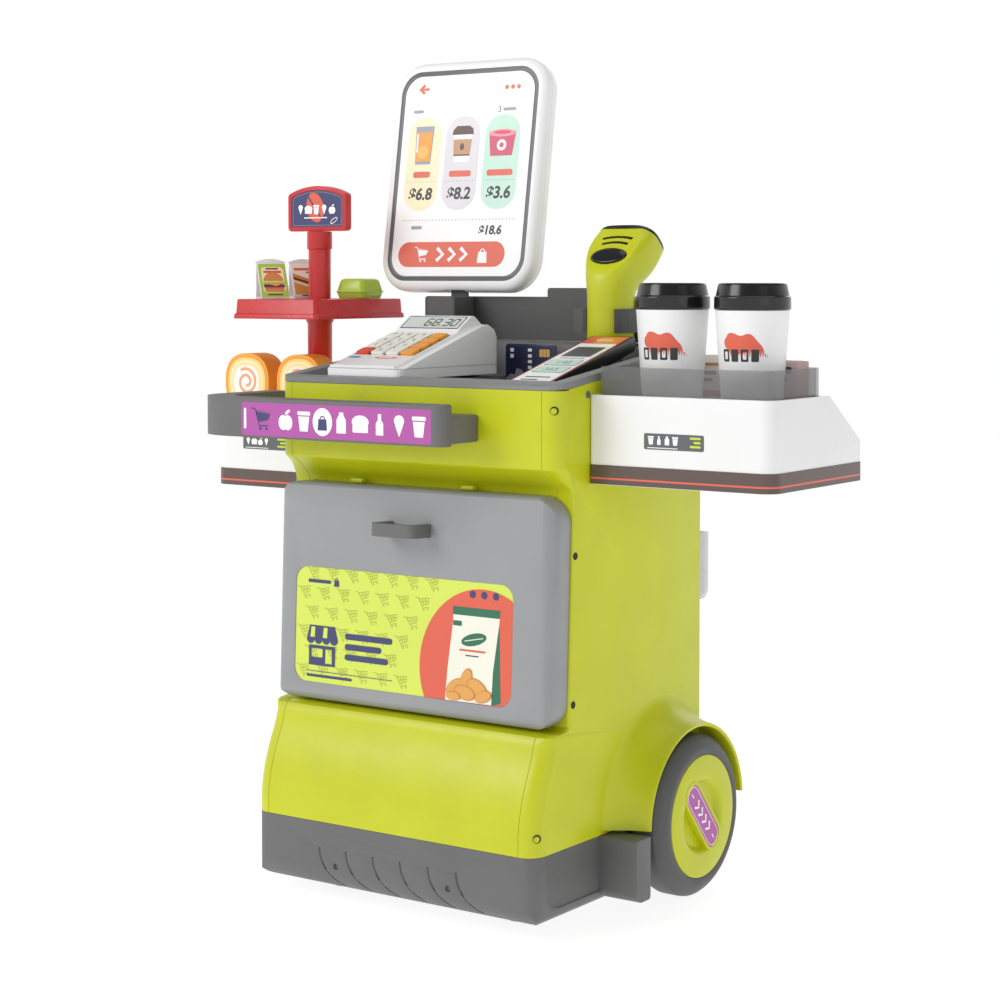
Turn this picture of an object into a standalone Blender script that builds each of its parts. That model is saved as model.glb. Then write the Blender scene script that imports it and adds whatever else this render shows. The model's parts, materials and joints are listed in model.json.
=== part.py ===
"""Toy supermarket cash register on two wheels, with side shelves, a card terminal, a scanner and play food.

Units are metres, +Z is up and -Y is the customer's side. The origin is at the middle of the
bounding box, on the floor. Inside the script Y is measured from the front feet, and LAYOUT_SHIFT
moves everything to the origin at the end.
"""
import math

import bmesh
import bpy
from mathutils import Matrix, Vector

GAP = 0.0003                   # play between neighbouring pieces
WALL = 0.0025                  # moulded wall thickness

# Cabinet
BODY_HALF = 0.1408             # half of the cabinet width
BODY_BACK = 0.198              # rear plane
BASE_TOP = 0.066               # seam between the dark base and the lime shell
BASE_BOTTOM = 0.010
BASE_FRONT = -0.052
CORNER = 0.014                 # plan radius of the front corners
FLANGE = 0.001                 # flat strip of the front shell behind each corner
HEAD_FRONT = -0.020            # front plane of the head above the door
RECESS_LOW = -0.0042           # leaning frame behind the door, at its foot
RECESS_HIGH = 0.0023           # and at its head
SHELL_TOP = 0.4222
RIM_FRONT = 0.4283             # top edge of the console rim above the head
RIM_RISE = 0.128               # slope of the console rim
RIM_HEIGHT = 0.0057
PLATFORM = 0.424               # left half of the console
BAY_FLOOR = 0.408              # sunk right half of the console

# Wheels
WHEEL_Y = 0.142
WHEEL_Z = 0.0665
WHEEL_RADIUS = 0.0665
WHEEL_INNER = 0.146
WHEEL_OUTER = 0.178
AXLE_RADIUS = 0.003
AXLE_PLAY = 0.0001
ARCH_RIM = 0.0755
ARCH_OUTER = 0.172
ARCH_WALL = 0.101              # radius where the arch leaves the side wall
ARCH_WALL_REAR = 0.088

# Front rail
RAIL_FRONT = -0.070
RAIL_DEPTH = 0.022
RAIL_LOW = 0.379
RAIL_HIGH = 0.411

# Door
DOOR_HALF = 0.139
DOOR_LOW = 0.1585
DOOR_HIGH = 0.340
DOOR_FACE = -0.029             # outer face at the bottom edge
DOOR_DEPTH = 0.024
DOOR_PIVOT = 0.012             # pivot above the bottom edge and behind the face
DOOR_LEAN = math.radians(2.2)

# Shelves
WING_OUTER = 0.303
WING_INNER = BODY_HALF + GAP
WING_RIGHT = dict(front=0.024, back=0.172, low=0.348, high=0.418, slope_start=0.116, slope_end=0.379)
WING_LEFT = dict(front=0.080, back=0.198, low=0.320, high=0.391, slope_start=0.151, slope_end=0.357)
DECK_SINK = 0.003

# Dessert stand
STAND_X = -0.2165
STAND_Y = 0.126
POST_RADIUS = 0.010
TRAY_LOW = 0.471
TRAY_HIGH = 0.490
SIGN_LOW = 0.5513

# Monitor
MONITOR_X = -0.0957
MONITOR_HALF = 0.0845
MONITOR_HEIGHT = 0.210
MONITOR_DEPTH = 0.020
MONITOR_TILT = math.radians(8.5)
MONITOR_PIVOT = Vector((MONITOR_X, 0.177, 0.5085))
MONITOR_BELOW = 0.0125         # bottom edge below the pivot
MONITOR_AHEAD = 0.011          # front face ahead of the pivot

# Card terminal
POS_X = -0.062
POS_HALF = 0.039
POS_FRONT = -0.007
POS_BACK = 0.135
POS_LOW = 0.4245
KEY_SLOPE = math.atan2(0.030, 0.099)
KEY_PITCH = (0.0155, 0.0137)
KEY_SIZE = (0.0126, 0.0105)
KEY_PLANE = Vector((POS_X, 0.0485, 0.4530))    # middle of the key field on the sloping face

# Scanner
SCANNER_X = 0.076
SCANNER_Y = 0.158
HANDLE_RADIUS = 0.020
SCANNER_FOOT = 0.4510
CLIP_LOW = 0.463
CLIP_HIGH = 0.483
SCANNER_FACE = Vector((SCANNER_X, 0.1546, 0.5275))    # middle of the sloping flat face
FACE_SLOPE = math.radians(46.5)

REAR_MOST = WHEEL_Y + ARCH_WALL_REAR
LAYOUT_SHIFT = -(RAIL_FRONT + REAR_MOST) / 2.0

FACING_FRONT = (math.pi / 2, 0.0, 0.0)         # drawing X, Y -> world X, Z
FACING_SIDE = (math.pi / 2, 0.0, math.pi / 2)  # drawing X, Y -> world Y, Z
LYING_FLAT = (0.0, 0.0, 0.0)

COLOURS = {
    "lime": ((0.62, 0.70, 0.03), 0.35, 0.0),
    "lime_clear": ((0.45, 0.55, 0.04), 0.25, 0.0),
    "dark_grey": ((0.14, 0.14, 0.14), 0.50, 0.0),
    "door_grey": ((0.32, 0.33, 0.34), 0.45, 0.0),
    "rim_grey": ((0.22, 0.22, 0.22), 0.50, 0.0),
    "white": ((0.85, 0.85, 0.85), 0.35, 0.0),
    "smoke": ((0.20, 0.20, 0.20), 0.15, 0.0),
    "frost": ((0.55, 0.56, 0.58), 0.35, 0.0),
    "red": ((0.55, 0.06, 0.06), 0.35, 0.0),
    "black": ((0.02, 0.02, 0.02), 0.30, 0.0),
    "tyre": ((0.09, 0.09, 0.09), 0.65, 0.0),
    "steel": ((0.55, 0.55, 0.56), 0.30, 1.0),
    "orange": ((0.80, 0.35, 0.05), 0.45, 0.0),
    "cake": ((0.85, 0.45, 0.08), 0.60, 0.0),
    "navy": ((0.06, 0.07, 0.15), 0.40, 0.0),
    "pink": ((0.60, 0.42, 0.42), 0.35, 0.0),
}

parts = None
cutters = None
layout = None


def start_scene():
    """Empty the scene, then make the two collections and the empty that carries the layout."""
    global parts, cutters, layout
    for obj in list(bpy.data.objects):
        bpy.data.objects.remove(obj, do_unlink=True)
    parts = bpy.data.collections.new("toy_cash_register")
    cutters = bpy.data.collections.new("cutters")
    for collection in (parts, cutters):
        bpy.context.scene.collection.children.link(collection)
    layout = bpy.data.objects.new("layout", None)
    parts.objects.link(layout)
    for name, (colour, roughness, metallic) in COLOURS.items():
        material = bpy.data.materials.new(name)
        material.use_nodes = True
        shader = material.node_tree.nodes["Principled BSDF"]
        shader.inputs["Base Color"].default_value = (*colour, 1.0)
        shader.inputs["Roughness"].default_value = roughness
        shader.inputs["Metallic"].default_value = metallic


def anchor(name, location):
    """An empty on a joint's axis, for the pieces that move on it."""
    empty = bpy.data.objects.new(name, None)
    empty.location = location
    empty.parent = layout
    parts.objects.link(empty)
    return empty


def put(name, mesh, colour, location=(0, 0, 0), rotation=LYING_FLAT, parent=None):
    """Place a mesh as a named sub-part."""
    obj = bpy.data.objects.new(name, mesh)
    mesh.materials.clear()
    mesh.materials.append(bpy.data.materials[colour])
    obj.location = location
    obj.rotation_euler = rotation
    obj.parent = parent or layout
    parts.objects.link(obj)
    return obj


def tool(mesh, location=(0, 0, 0), rotation=LYING_FLAT, parent=None):
    """Place a mesh as a cutter or as a shape to join."""
    obj = bpy.data.objects.new("tool", mesh)
    obj.location = location
    obj.rotation_euler = rotation
    obj.parent = parent or layout
    obj.hide_render = True
    obj.display_type = "WIRE"
    cutters.objects.link(obj)
    return obj


def combine(obj, other, operation):
    modifier = obj.modifiers.new(operation.lower(), "BOOLEAN")
    modifier.object = other
    modifier.operation = operation
    modifier.solver = "EXACT"


def cut(obj, other):
    combine(obj, other, "DIFFERENCE")


def join(obj, other):
    combine(obj, other, "UNION")


def keep_common(obj, other):
    combine(obj, other, "INTERSECT")


def soften(obj, width, segments=2, angle=40):
    modifier = obj.modifiers.new("edges", "BEVEL")
    modifier.width = width
    modifier.segments = segments
    modifier.limit_method = "ANGLE"
    modifier.angle_limit = math.radians(angle)
    modifier.use_clamp_overlap = True


def smooth(mesh, angle=35):
    mesh.shade_smooth()
    mesh.set_sharp_from_angle(angle=math.radians(angle))


def arc(centre, radius, start, stop, steps):
    """Points on an arc, angles in degrees, both ends included."""
    points = []
    for index in range(steps + 1):
        angle = math.radians(start + (stop - start) * index / steps)
        points.append((centre[0] + radius * math.cos(angle), centre[1] + radius * math.sin(angle)))
    return points


def rounded(low, high, radii, steps=4):
    """Outline of a rectangle; radii run from the low-low corner counter-clockwise."""
    if not isinstance(radii, (tuple, list)):
        radii = (radii,) * 4
    corners = ((low[0], low[1], 1, 1, 180), (high[0], low[1], -1, 1, 270),
               (high[0], high[1], -1, -1, 0), (low[0], high[1], 1, -1, 90))
    points = []
    for (x, y, sx, sy, start), radius in zip(corners, radii):
        if radius <= 0:
            points.append((x, y))
        else:
            points += arc((x + sx * radius, y + sy * radius), radius, start, start + 90, steps)
    return points


def drawn(outline, low, high):
    """A flat outline as a 2D curve, extruded along the drawing's Z from low to high."""
    curve = bpy.data.curves.new("outline", "CURVE")
    curve.dimensions = "2D"
    curve.fill_mode = "BOTH"
    curve.extrude = (high - low) / 2.0
    spline = curve.splines.new("POLY")
    spline.points.add(len(outline) - 1)
    for point, (x, y) in zip(spline.points, outline):
        point.co = (x, y, 0.0, 1.0)
    spline.use_cyclic_u = True
    obj = bpy.data.objects.new("outline", curve)
    bpy.context.scene.collection.objects.link(obj)
    depsgraph = bpy.context.evaluated_depsgraph_get()
    mesh = bpy.data.meshes.new_from_object(obj.evaluated_get(depsgraph))
    bpy.data.objects.remove(obj)
    bpy.data.curves.remove(curve)
    mesh.transform(Matrix.Translation((0, 0, (low + high) / 2.0)))
    return welded(mesh)


def welded(mesh, distance=0.00001):
    shape = bmesh.new()
    shape.from_mesh(mesh)
    bmesh.ops.remove_doubles(shape, verts=shape.verts, dist=distance)
    bmesh.ops.recalc_face_normals(shape, faces=shape.faces)
    shape.to_mesh(mesh)
    shape.free()
    return mesh


def block(low, high):
    """A box between two corners."""
    shape = bmesh.new()
    size = [b - a for a, b in zip(low, high)]
    middle = [(a + b) / 2 for a, b in zip(low, high)]
    matrix = Matrix.Translation(middle) @ Matrix.Diagonal((*size, 1.0))
    bmesh.ops.create_cube(shape, size=1.0, matrix=matrix)
    mesh = bpy.data.meshes.new("block")
    shape.to_mesh(mesh)
    shape.free()
    return mesh


def rod(radius, low, high, segments=32):
    """A cylinder along the drawing's Z."""
    shape = bmesh.new()
    bmesh.ops.create_cone(shape, cap_ends=True, segments=segments, radius1=radius, radius2=radius,
                          depth=high - low, matrix=Matrix.Translation((0, 0, (low + high) / 2)))
    mesh = bpy.data.meshes.new("rod")
    shape.to_mesh(mesh)
    shape.free()
    return mesh


def turned(profile, segments=32):
    """A Screw modifier on a profile of (radius, height) points, top to bottom, applied."""
    mesh = bpy.data.meshes.new("profile")
    points = [(radius, 0.0, height) for radius, height in profile]
    mesh.from_pydata(points, [(i, i + 1) for i in range(len(points) - 1)], [])
    obj = bpy.data.objects.new("profile", mesh)
    bpy.context.scene.collection.objects.link(obj)
    screw = obj.modifiers.new("screw", "SCREW")
    screw.steps = segments
    screw.render_steps = segments
    screw.use_merge_vertices = True
    screw.merge_threshold = 0.00001
    depsgraph = bpy.context.evaluated_depsgraph_get()
    result = bpy.data.meshes.new_from_object(obj.evaluated_get(depsgraph))
    bpy.data.objects.remove(obj)
    bpy.data.meshes.remove(mesh)
    welded(result)
    smooth(result)
    return result


def lofted(sections, closed_ends=True, closed_loop=True):
    """A skin over sections that all have the same number of points."""
    shape = bmesh.new()
    rings = [[shape.verts.new(point) for point in section] for section in sections]
    count = len(sections[0])
    last = count if closed_loop else count - 1
    for lower, upper in zip(rings, rings[1:]):
        for index in range(last):
            following = (index + 1) % count
            shape.faces.new((lower[index], lower[following], upper[following], upper[index]))
    if closed_ends:
        shape.faces.new(list(reversed(rings[0])))
        shape.faces.new(rings[-1])
    bmesh.ops.recalc_face_normals(shape, faces=shape.faces)
    mesh = bpy.data.meshes.new("loft")
    shape.to_mesh(mesh)
    shape.free()
    return mesh


def mirrored(mesh):
    """The left-hand copy of a right-hand mesh."""
    copy = mesh.copy()
    copy.transform(Matrix.Scale(-1, 4, (1, 0, 0)))
    copy.flip_normals()
    return copy


def rim_height(y):
    """Height of the console rim's top edge at a depth y."""
    return RIM_FRONT + (y + 0.0108) * RIM_RISE


# ---------------------------------------------------------------- cabinet

SKIRT = ((0.0663, -0.0520), (0.0830, -0.0520), (0.1000, -0.0490), (0.1180, -0.0430),
         (0.1360, -0.0350), (0.1500, -0.0305), (0.1545, -0.0285), (0.1565, -0.0230))
LEDGE = ((0.1570, -0.0150), (0.1575, -0.0090))
FRAME = ((0.1600, RECESS_LOW), (0.3320, RECESS_HIGH))
NECK = ((0.3420, RECESS_HIGH), (0.3480, -0.0025), (0.3545, -0.0100), (0.3610, HEAD_FRONT))
HEAD = ((0.3680, HEAD_FRONT), (SHELL_TOP, HEAD_FRONT))
FRONT_PROFILE = SKIRT + LEDGE + FRAME + NECK + HEAD


def front_shell():
    """The front moulding: a U-shaped plan whose front plane follows FRONT_PROFILE."""
    sections = []
    for height, front in FRONT_PROFILE:
        right = [(BODY_HALF, front + CORNER + FLANGE)]
        right += [(x, y) for x, y in reversed(arc((BODY_HALF - CORNER, front + CORNER), CORNER, -90, 0, 4))]
        left = [(-x, y) for x, y in reversed(right)]
        sections.append([(x, y, height) for x, y in right + left])
    mesh = lofted(sections, closed_ends=False, closed_loop=False)
    smooth(mesh)
    shell = put("front_shell", mesh, "lime")
    wall = shell.modifiers.new("wall", "SOLIDIFY")
    wall.thickness = WALL
    wall.offset = -1.0
    cut(shell, tool(block((-0.122, -0.010, 0.172), (0.122, 0.010, 0.322))))


def side_outline():
    """Side wall in (Y, Z): its front edge follows the front shell, its top follows the rim."""
    edge = CORNER + FLANGE + GAP
    points = [(front + edge, height) for height, front in SKIRT[:4]]
    points += [(front + edge + 4 * GAP, height) for height, front in SKIRT[4:6]]
    points += [(-0.0282 + edge, 0.1522), (-0.0230 + edge, 0.1538), (-0.0150 + edge, 0.1546),
               (-0.0110 + edge, 0.1556), (RECESS_LOW + edge + GAP, 0.1570)]
    points += [(front + edge, height) for height, front in FRAME[1:] + NECK + HEAD[:1]]
    top = [(y, rim_height(y) - RIM_HEIGHT - GAP) for y in (HEAD_FRONT + edge, BODY_BACK)]
    points += top
    ear = ARCH_WALL_REAR - 0.003
    meets_back = math.degrees(math.acos((BODY_BACK - WHEEL_Y) / ear))
    points += arc((WHEEL_Y, WHEEL_Z), ear, meets_back, 2, 6)
    tab_rear = BASE_TOP + 2 * GAP
    points += [(BODY_BACK, WHEEL_Z + 0.0035), (BODY_BACK, tab_rear), (0.185, tab_rear), (0.185, 0.050),
               (0.099, 0.050), (0.099, BASE_TOP + GAP)]
    return points


def wheel_arch():
    """The flared arch over a wheel, swept from in front of the wheel to behind it."""
    sections = []
    for step in range(19):
        angle = math.radians(178 - step * 9.6)
        rear = min(1.0, max(0.0, (step - 8) / 6))
        wall = ARCH_WALL + (ARCH_WALL_REAR - ARCH_WALL) * rear
        span = wall - ARCH_RIM
        profile = [(wall - 0.003, 0.1385), (wall, 0.1400), (wall - 0.30 * span, 0.1440),
                   (wall - 0.62 * span, 0.1520), (wall - 0.86 * span, 0.1620), (ARCH_RIM, ARCH_OUTER),
                   (ARCH_RIM - WALL, ARCH_OUTER), (wall - 0.86 * span - 0.0032, 0.1610),
                   (wall - 0.62 * span - 0.0034, 0.1495), (wall - 0.36 * span - 0.004, 0.1405),
                   (wall - 0.36 * span - 0.004, 0.1385)]
        sections.append([(x, WHEEL_Y + r * math.cos(angle), WHEEL_Z + r * math.sin(angle))
                         for r, x in profile])
    mesh = lofted(sections)
    smooth(mesh)
    return mesh


def side_panels():
    """Both side walls: a flat wall with an ear behind the cabinet's back, the arch and the axle hole."""
    for name, sign in (("side_panel_right", 1), ("side_panel_left", -1)):
        inner, outer = sorted((sign * (BODY_HALF - WALL), sign * BODY_HALF))
        panel = put(name, drawn(side_outline(), inner, outer), "lime", rotation=FACING_SIDE)
        arch = wheel_arch()
        join(panel, tool(arch if sign > 0 else mirrored(arch)))
        hole = rod(AXLE_RADIUS + AXLE_PLAY, -0.150, 0.150)
        cut(panel, tool(hole, (0, WHEEL_Y, WHEEL_Z), FACING_SIDE))


def base_bumper():
    """The moulded base: an open tray with round lower edges and a block ahead of each wheel."""
    plan = rounded((-BODY_HALF, BASE_FRONT), (BODY_HALF, BODY_BACK), (CORNER, CORNER, 0.006, 0.006))
    base = put("base_bumper", drawn(plan, BASE_BOTTOM, BASE_TOP), "dark_grey")
    above = BASE_TOP + 0.024
    ends = (BASE_FRONT - 0.001, BODY_BACK + 0.001)
    rounding = rounded((ends[0], BASE_BOTTOM), (ends[1], above), (0.024, 0.010, 0, 0), 6)
    keep_common(base, tool(drawn(rounding, -0.150, 0.150), rotation=FACING_SIDE))
    half = BODY_HALF + 0.001
    across = rounded((-half, BASE_BOTTOM), (half, above), (0.016, 0.016, 0, 0), 5)
    keep_common(base, tool(drawn(across, -BODY_BACK - 0.010, 0.070), rotation=FACING_FRONT))
    side = [(0.042, 0.050), (0.042, 0.026), (0.050, 0.017), (0.060, 0.016), (0.0625, 0.022),
            (0.0610, BASE_TOP), (0.042, BASE_TOP)]
    for sign in (1, -1):
        low, high = sorted((sign * 0.130, sign * 0.175))
        join(base, tool(drawn(side, low, high), rotation=FACING_SIDE))
    for inset, floor in ((0.004, 0.028), (0.022, 0.013)):
        inside = BODY_HALF - inset
        hollow = rounded((-inside, BASE_FRONT + inset), (inside, BODY_BACK - inset), 0.010)
        cut(base, tool(drawn(hollow, floor, 0.100)))
    for sign in (1, -1):
        low, high = sorted((sign * 0.134, sign * 0.150))
        cut(base, tool(block((low, 0.0987, 0.0497), (high, 0.1853, 0.080))))


def feet():
    """Two round pads under the front of the base."""
    top = BASE_BOTTOM - GAP
    profile = ((0.0, top), (0.011, top), (0.012, 0.002), (0.0105, 0.0), (0.0, 0.0))
    for name, x in (("foot_left", -0.089), ("foot_right", 0.089)):
        put(name, turned(profile, 24), "black", (x, 0.004, 0.0))


def back_panel():
    """Rear wall, standing between the side walls."""
    half = BODY_HALF - WALL - GAP
    top = rim_height(BODY_BACK) - RIM_HEIGHT - 0.002
    low = BASE_TOP + GAP
    wall = put("back_panel", block((-half, BODY_BACK - WALL, low), (half, BODY_BACK, top)), "lime")
    soften(wall, 0.0006, 1)


def rear_pocket():
    """Shallow open bin on the rear wall."""
    half = 0.137
    low = 0.235
    high = 0.292
    near = BODY_BACK + GAP
    outline = rounded((near, low), (near + 0.021, high), (0, 0.010, 0.0, 0))
    pocket = put("rear_pocket", drawn(outline, -half, half), "frost", rotation=FACING_SIDE)
    inside = rounded((near + 0.002, low + 0.002), (near + 0.019, high + 0.01), (0, 0.008, 0.0, 0))
    cut(pocket, tool(drawn(inside, -half + 0.002, half - 0.002), rotation=FACING_SIDE))


def console_tray():
    """Console: a rising rim, a platform on the left, a sunk bay on the right and a card slot."""
    back = BODY_BACK
    rim = [(HEAD_FRONT, SHELL_TOP + GAP), (0.0, rim_height(0.0) - RIM_HEIGHT),
           (back, rim_height(back) - RIM_HEIGHT), (back, rim_height(back)),
           (-0.010, rim_height(-0.010)), (HEAD_FRONT + 0.002, RIM_FRONT - 0.0010),
           (HEAD_FRONT, RIM_FRONT - 0.0028)]
    tray = put("console_tray", drawn(rim, -BODY_HALF, BODY_HALF), "rim_grey", rotation=FACING_SIDE)
    plan = rounded((-BODY_HALF, HEAD_FRONT), (BODY_HALF, back), (CORNER, CORNER, 0.004, 0.004))
    keep_common(tray, tool(drawn(plan, 0.380, 0.480)))
    inner = 0.1315
    near = -0.0160
    far = back - WALL - GAP
    low = 0.4045
    below = [(near, low), (far, low), (far, rim_height(back) - 0.002), (near, rim_height(near) - 0.004)]
    join(tray, tool(drawn(below, -inner, inner), rotation=FACING_SIDE))
    cut(tray, tool(block((-0.1285, -0.009, PLATFORM), (-0.022, 0.180, 0.480))))
    cut(tray, tool(block((-0.0301, -0.004, BAY_FLOOR), (0.1285, 0.165, 0.480))))
    cut(tray, tool(block((-0.1285, -0.0125, 0.400), (-0.033, 0.192, PLATFORM - 0.003))))
    cut(tray, tool(block((-0.029, 0.168, 0.400), (0.1285, 0.192, 0.440))))
    socket = block((-0.031, 0.1445, 0.3625), (0.031, 0.1555, 0.4060))
    join(tray, tool(socket))
    cut(tray, tool(block((-0.0275, 0.1488, 0.3650), (0.0275, 0.1512, 0.4200))))
    join(tray, tool(block((0.084, 0.112, BAY_FLOOR - 0.001), (0.107, 0.124, 0.4400))))
    seat = SCANNER_FOOT - GAP
    join(tray, tool(block((0.052, 0.1380, BAY_FLOOR - 0.001), (0.100, 0.1665, seat))))
    cut(tray, tool(block((0.054, 0.1600, seat), (0.098, 0.1795, seat + 0.020))))


def rear_upstand():
    """Wall behind the console with the monitor post on the left and the scanner clip on the right."""
    foot = rim_height(0.181) + 0.0012
    top = 0.4925
    outline = rounded((-0.138, foot), (0.104, top), (0.001, 0.001, 0.010, 0.003))
    wall = put("rear_upstand", drawn(outline, -0.186, -0.181), "dark_grey", rotation=FACING_FRONT)
    step = rounded((-0.0040, top - 0.002), (0.0430, 0.5003), (0, 0, 0.001, 0.002), 2)
    join(wall, tool(drawn(step, -0.1858, -0.1812), rotation=FACING_FRONT))
    post = rounded((MONITOR_X - 0.0155, 0.147), (MONITOR_X + 0.0155, 0.1785), 0.002, 2)
    join(wall, tool(drawn(post, PLATFORM + GAP, top - 0.0004)))
    web = block((MONITOR_X - 0.012, 0.170, foot + 0.001), (MONITOR_X + 0.012, 0.183, top - 0.0030))
    join(wall, tool(web))
    neck = block((MONITOR_X - 0.0080, 0.1745, top - 0.0040), (MONITOR_X + 0.0080, 0.1795, MONITOR_PIVOT.z))
    join(wall, tool(neck))
    lug = rod(0.0045, -0.0095, 0.0095, 20)
    join(wall, tool(lug, MONITOR_PIVOT, FACING_SIDE))
    inner = HANDLE_RADIUS + 0.0005
    outer = HANDLE_RADIUS + 0.0035
    ring = arc((0, 0), outer, -50, 212, 16) + list(reversed(arc((0, 0), inner, -50, 212, 16)))
    join(wall, tool(drawn(ring, CLIP_LOW, CLIP_HIGH), (SCANNER_X, SCANNER_Y, 0)))
    ear = rounded((-0.0305, -0.0125), (-0.0190, -0.0090), 0.0012, 2)
    join(wall, tool(drawn(ear, CLIP_LOW + 0.0001, CLIP_HIGH - 0.0001), (SCANNER_X, SCANNER_Y, 0)))
    join(wall, tool(block((SCANNER_X - 0.012, SCANNER_Y + inner + 0.001, CLIP_LOW),
                          (SCANNER_X + 0.012, 0.1825, CLIP_HIGH))))


def front_rail():
    """The J-shaped rail: a bar across the head, a round bend and an arm back along the left side."""
    half = RAIL_DEPTH / 2
    line = RAIL_FRONT + half
    bend = 0.034
    arm = -0.189
    centre = [(0.056, line), (arm + bend, line)]
    centre += arc((arm + bend, line + bend), bend, 270, 180, 8)[1:]
    centre += [(arm, 0.030)]
    outer = []
    inner = []
    for index, point in enumerate(centre):
        before = Vector(centre[max(index - 1, 0)])
        after = Vector(centre[min(index + 1, len(centre) - 1)])
        along = (after - before).normalized()
        side = Vector((-along.y, along.x))
        outer.append(tuple(Vector(point) + side * half))
        inner.append(tuple(Vector(point) - side * half))
    right_end = arc((0.056, line), half, 90, -90, 6)
    left_end = arc((arm, 0.030), half, 180, 0, 6)
    outline = right_end + outer[1:-1] + left_end + list(reversed(inner[1:-1]))
    rail = put("front_rail", drawn(outline, RAIL_LOW, RAIL_HIGH), "dark_grey")
    for x in (-0.056, 0.044):
        join(rail, tool(block((x - 0.014, line, 0.380), (x + 0.014, HEAD_FRONT - GAP, 0.402))))


# ---------------------------------------------------------------- storage door

def door():
    """Deep door with round sides, hinged on its lower edge, and its pull handle."""
    hinge = anchor("door_hinge", (0, DOOR_FACE + DOOR_PIVOT, DOOR_LOW + DOOR_PIVOT))
    lean = (-DOOR_LEAN, 0, 0)
    face = -DOOR_PIVOT
    back = face + DOOR_DEPTH
    low = -DOOR_PIVOT
    high = low + DOOR_HIGH - DOOR_LOW
    side_radius = 0.013
    plan = rounded((-DOOR_HALF, face), (DOOR_HALF, back), (side_radius, side_radius, 0, 0), 6)
    shell = put("door_shell", drawn(plan, low, high), "door_grey", rotation=lean, parent=hinge)
    side = rounded((face, low), (back, high), (DOOR_PIVOT, DOOR_PIVOT, 0.0, 0.005), 5)
    keep_common(shell, tool(drawn(side, -0.150, 0.150), rotation=side_turn(lean[0]), parent=hinge))
    front = rounded((-DOOR_HALF, low), (DOOR_HALF, high), (0.020, 0.020, 0.022, 0.022), 5)
    upright = (lean[0] + math.pi / 2, 0, 0)
    keep_common(shell, tool(drawn(front, -0.030, 0.030), rotation=upright, parent=hinge))
    inset = 0.003
    inside = DOOR_HALF - inset
    radius = side_radius - inset
    hollow = rounded((-inside, face + inset), (inside, back + 0.002), (radius, radius, 0, 0), 6)
    cut(shell, tool(drawn(hollow, low + 0.014, high - 0.022), rotation=lean, parent=hinge))
    half = 0.022
    deep = 0.025
    bar = rounded((-half, -deep), (half, 0.0), (0.006, 0.006, 0, 0), 3)
    grip = rounded((-half + 0.006, -deep + 0.006), (half - 0.006, 0.001), (0.003, 0.003, 0, 0), 2)
    bottom = 0.1315
    thick = 0.0105
    place = handle_place(face, lean[0])
    handle = put("door_handle", drawn(bar, bottom, bottom + thick), "dark_grey", place, lean, hinge)
    cut(handle, tool(drawn(grip, bottom - 0.002, bottom + thick + 0.002), place, lean, hinge))


def side_turn(lean):
    """Rotation that draws in (Y, Z) and then leans about X."""
    upright = Matrix.Rotation(math.pi / 2, 3, "Z") @ Matrix.Rotation(math.pi / 2, 3, "X")
    return (Matrix.Rotation(lean, 3, "X") @ upright).to_euler()


def handle_place(face, lean):
    """Where the handle's mounting face meets the door's outer face."""
    return Matrix.Rotation(lean, 3, "X") @ Vector((0, face - GAP, 0))


# ---------------------------------------------------------------- wheels

def wheels():
    """Two wheels, each a tyre on a dished hub with a raised grip, on one fixed axle."""
    width = WHEEL_OUTER - WHEEL_INNER
    hub_radius = 0.0505
    tread = ((hub_radius + GAP, width - 0.001), (0.056, width - 0.001), (0.060, width - 0.003),
             (WHEEL_RADIUS, width - 0.010), (WHEEL_RADIUS, 0.006), (0.061, 0.0), (hub_radius + GAP, 0.0),
             (hub_radius + GAP, width - 0.001))
    dish = ((0.0, 0.026), (0.026, 0.026), (0.031, width), (hub_radius - 0.001, width),
            (hub_radius, width - 0.001), (hub_radius, 0.002), (0.030, 0.002), (0.012, 0.006), (0.0, 0.006))
    bore = rod(AXLE_RADIUS + AXLE_PLAY, -0.010, 0.022)
    grip_outline = rounded((-0.036, -0.0125), (0.036, 0.0125), 0.0124, 5)
    for label, sign in (("right", 1), ("left", -1)):
        turn = FACING_SIDE if sign > 0 else (math.pi / 2, 0.0, -math.pi / 2)
        axis = anchor("wheel_axis_" + label, (sign * WHEEL_INNER, WHEEL_Y, WHEEL_Z))
        put("tyre_" + label, turned(tread, 36), "tyre", rotation=turn, parent=axis)
        hub = put("hub_" + label, turned(dish, 36), "lime", rotation=turn, parent=axis)
        grip = drawn(grip_outline, 0.025, width)
        grip.transform(Matrix.Rotation(math.radians(-50 if sign > 0 else 50), 4, "Z"))
        join(hub, tool(grip, rotation=turn, parent=axis))
        cut(hub, tool(bore.copy(), rotation=turn, parent=axis))
    put("rear_axle", rod(AXLE_RADIUS, -0.164, 0.164), "steel", (0, WHEEL_Y, WHEEL_Z), FACING_SIDE)


# ---------------------------------------------------------------- shelves

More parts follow.
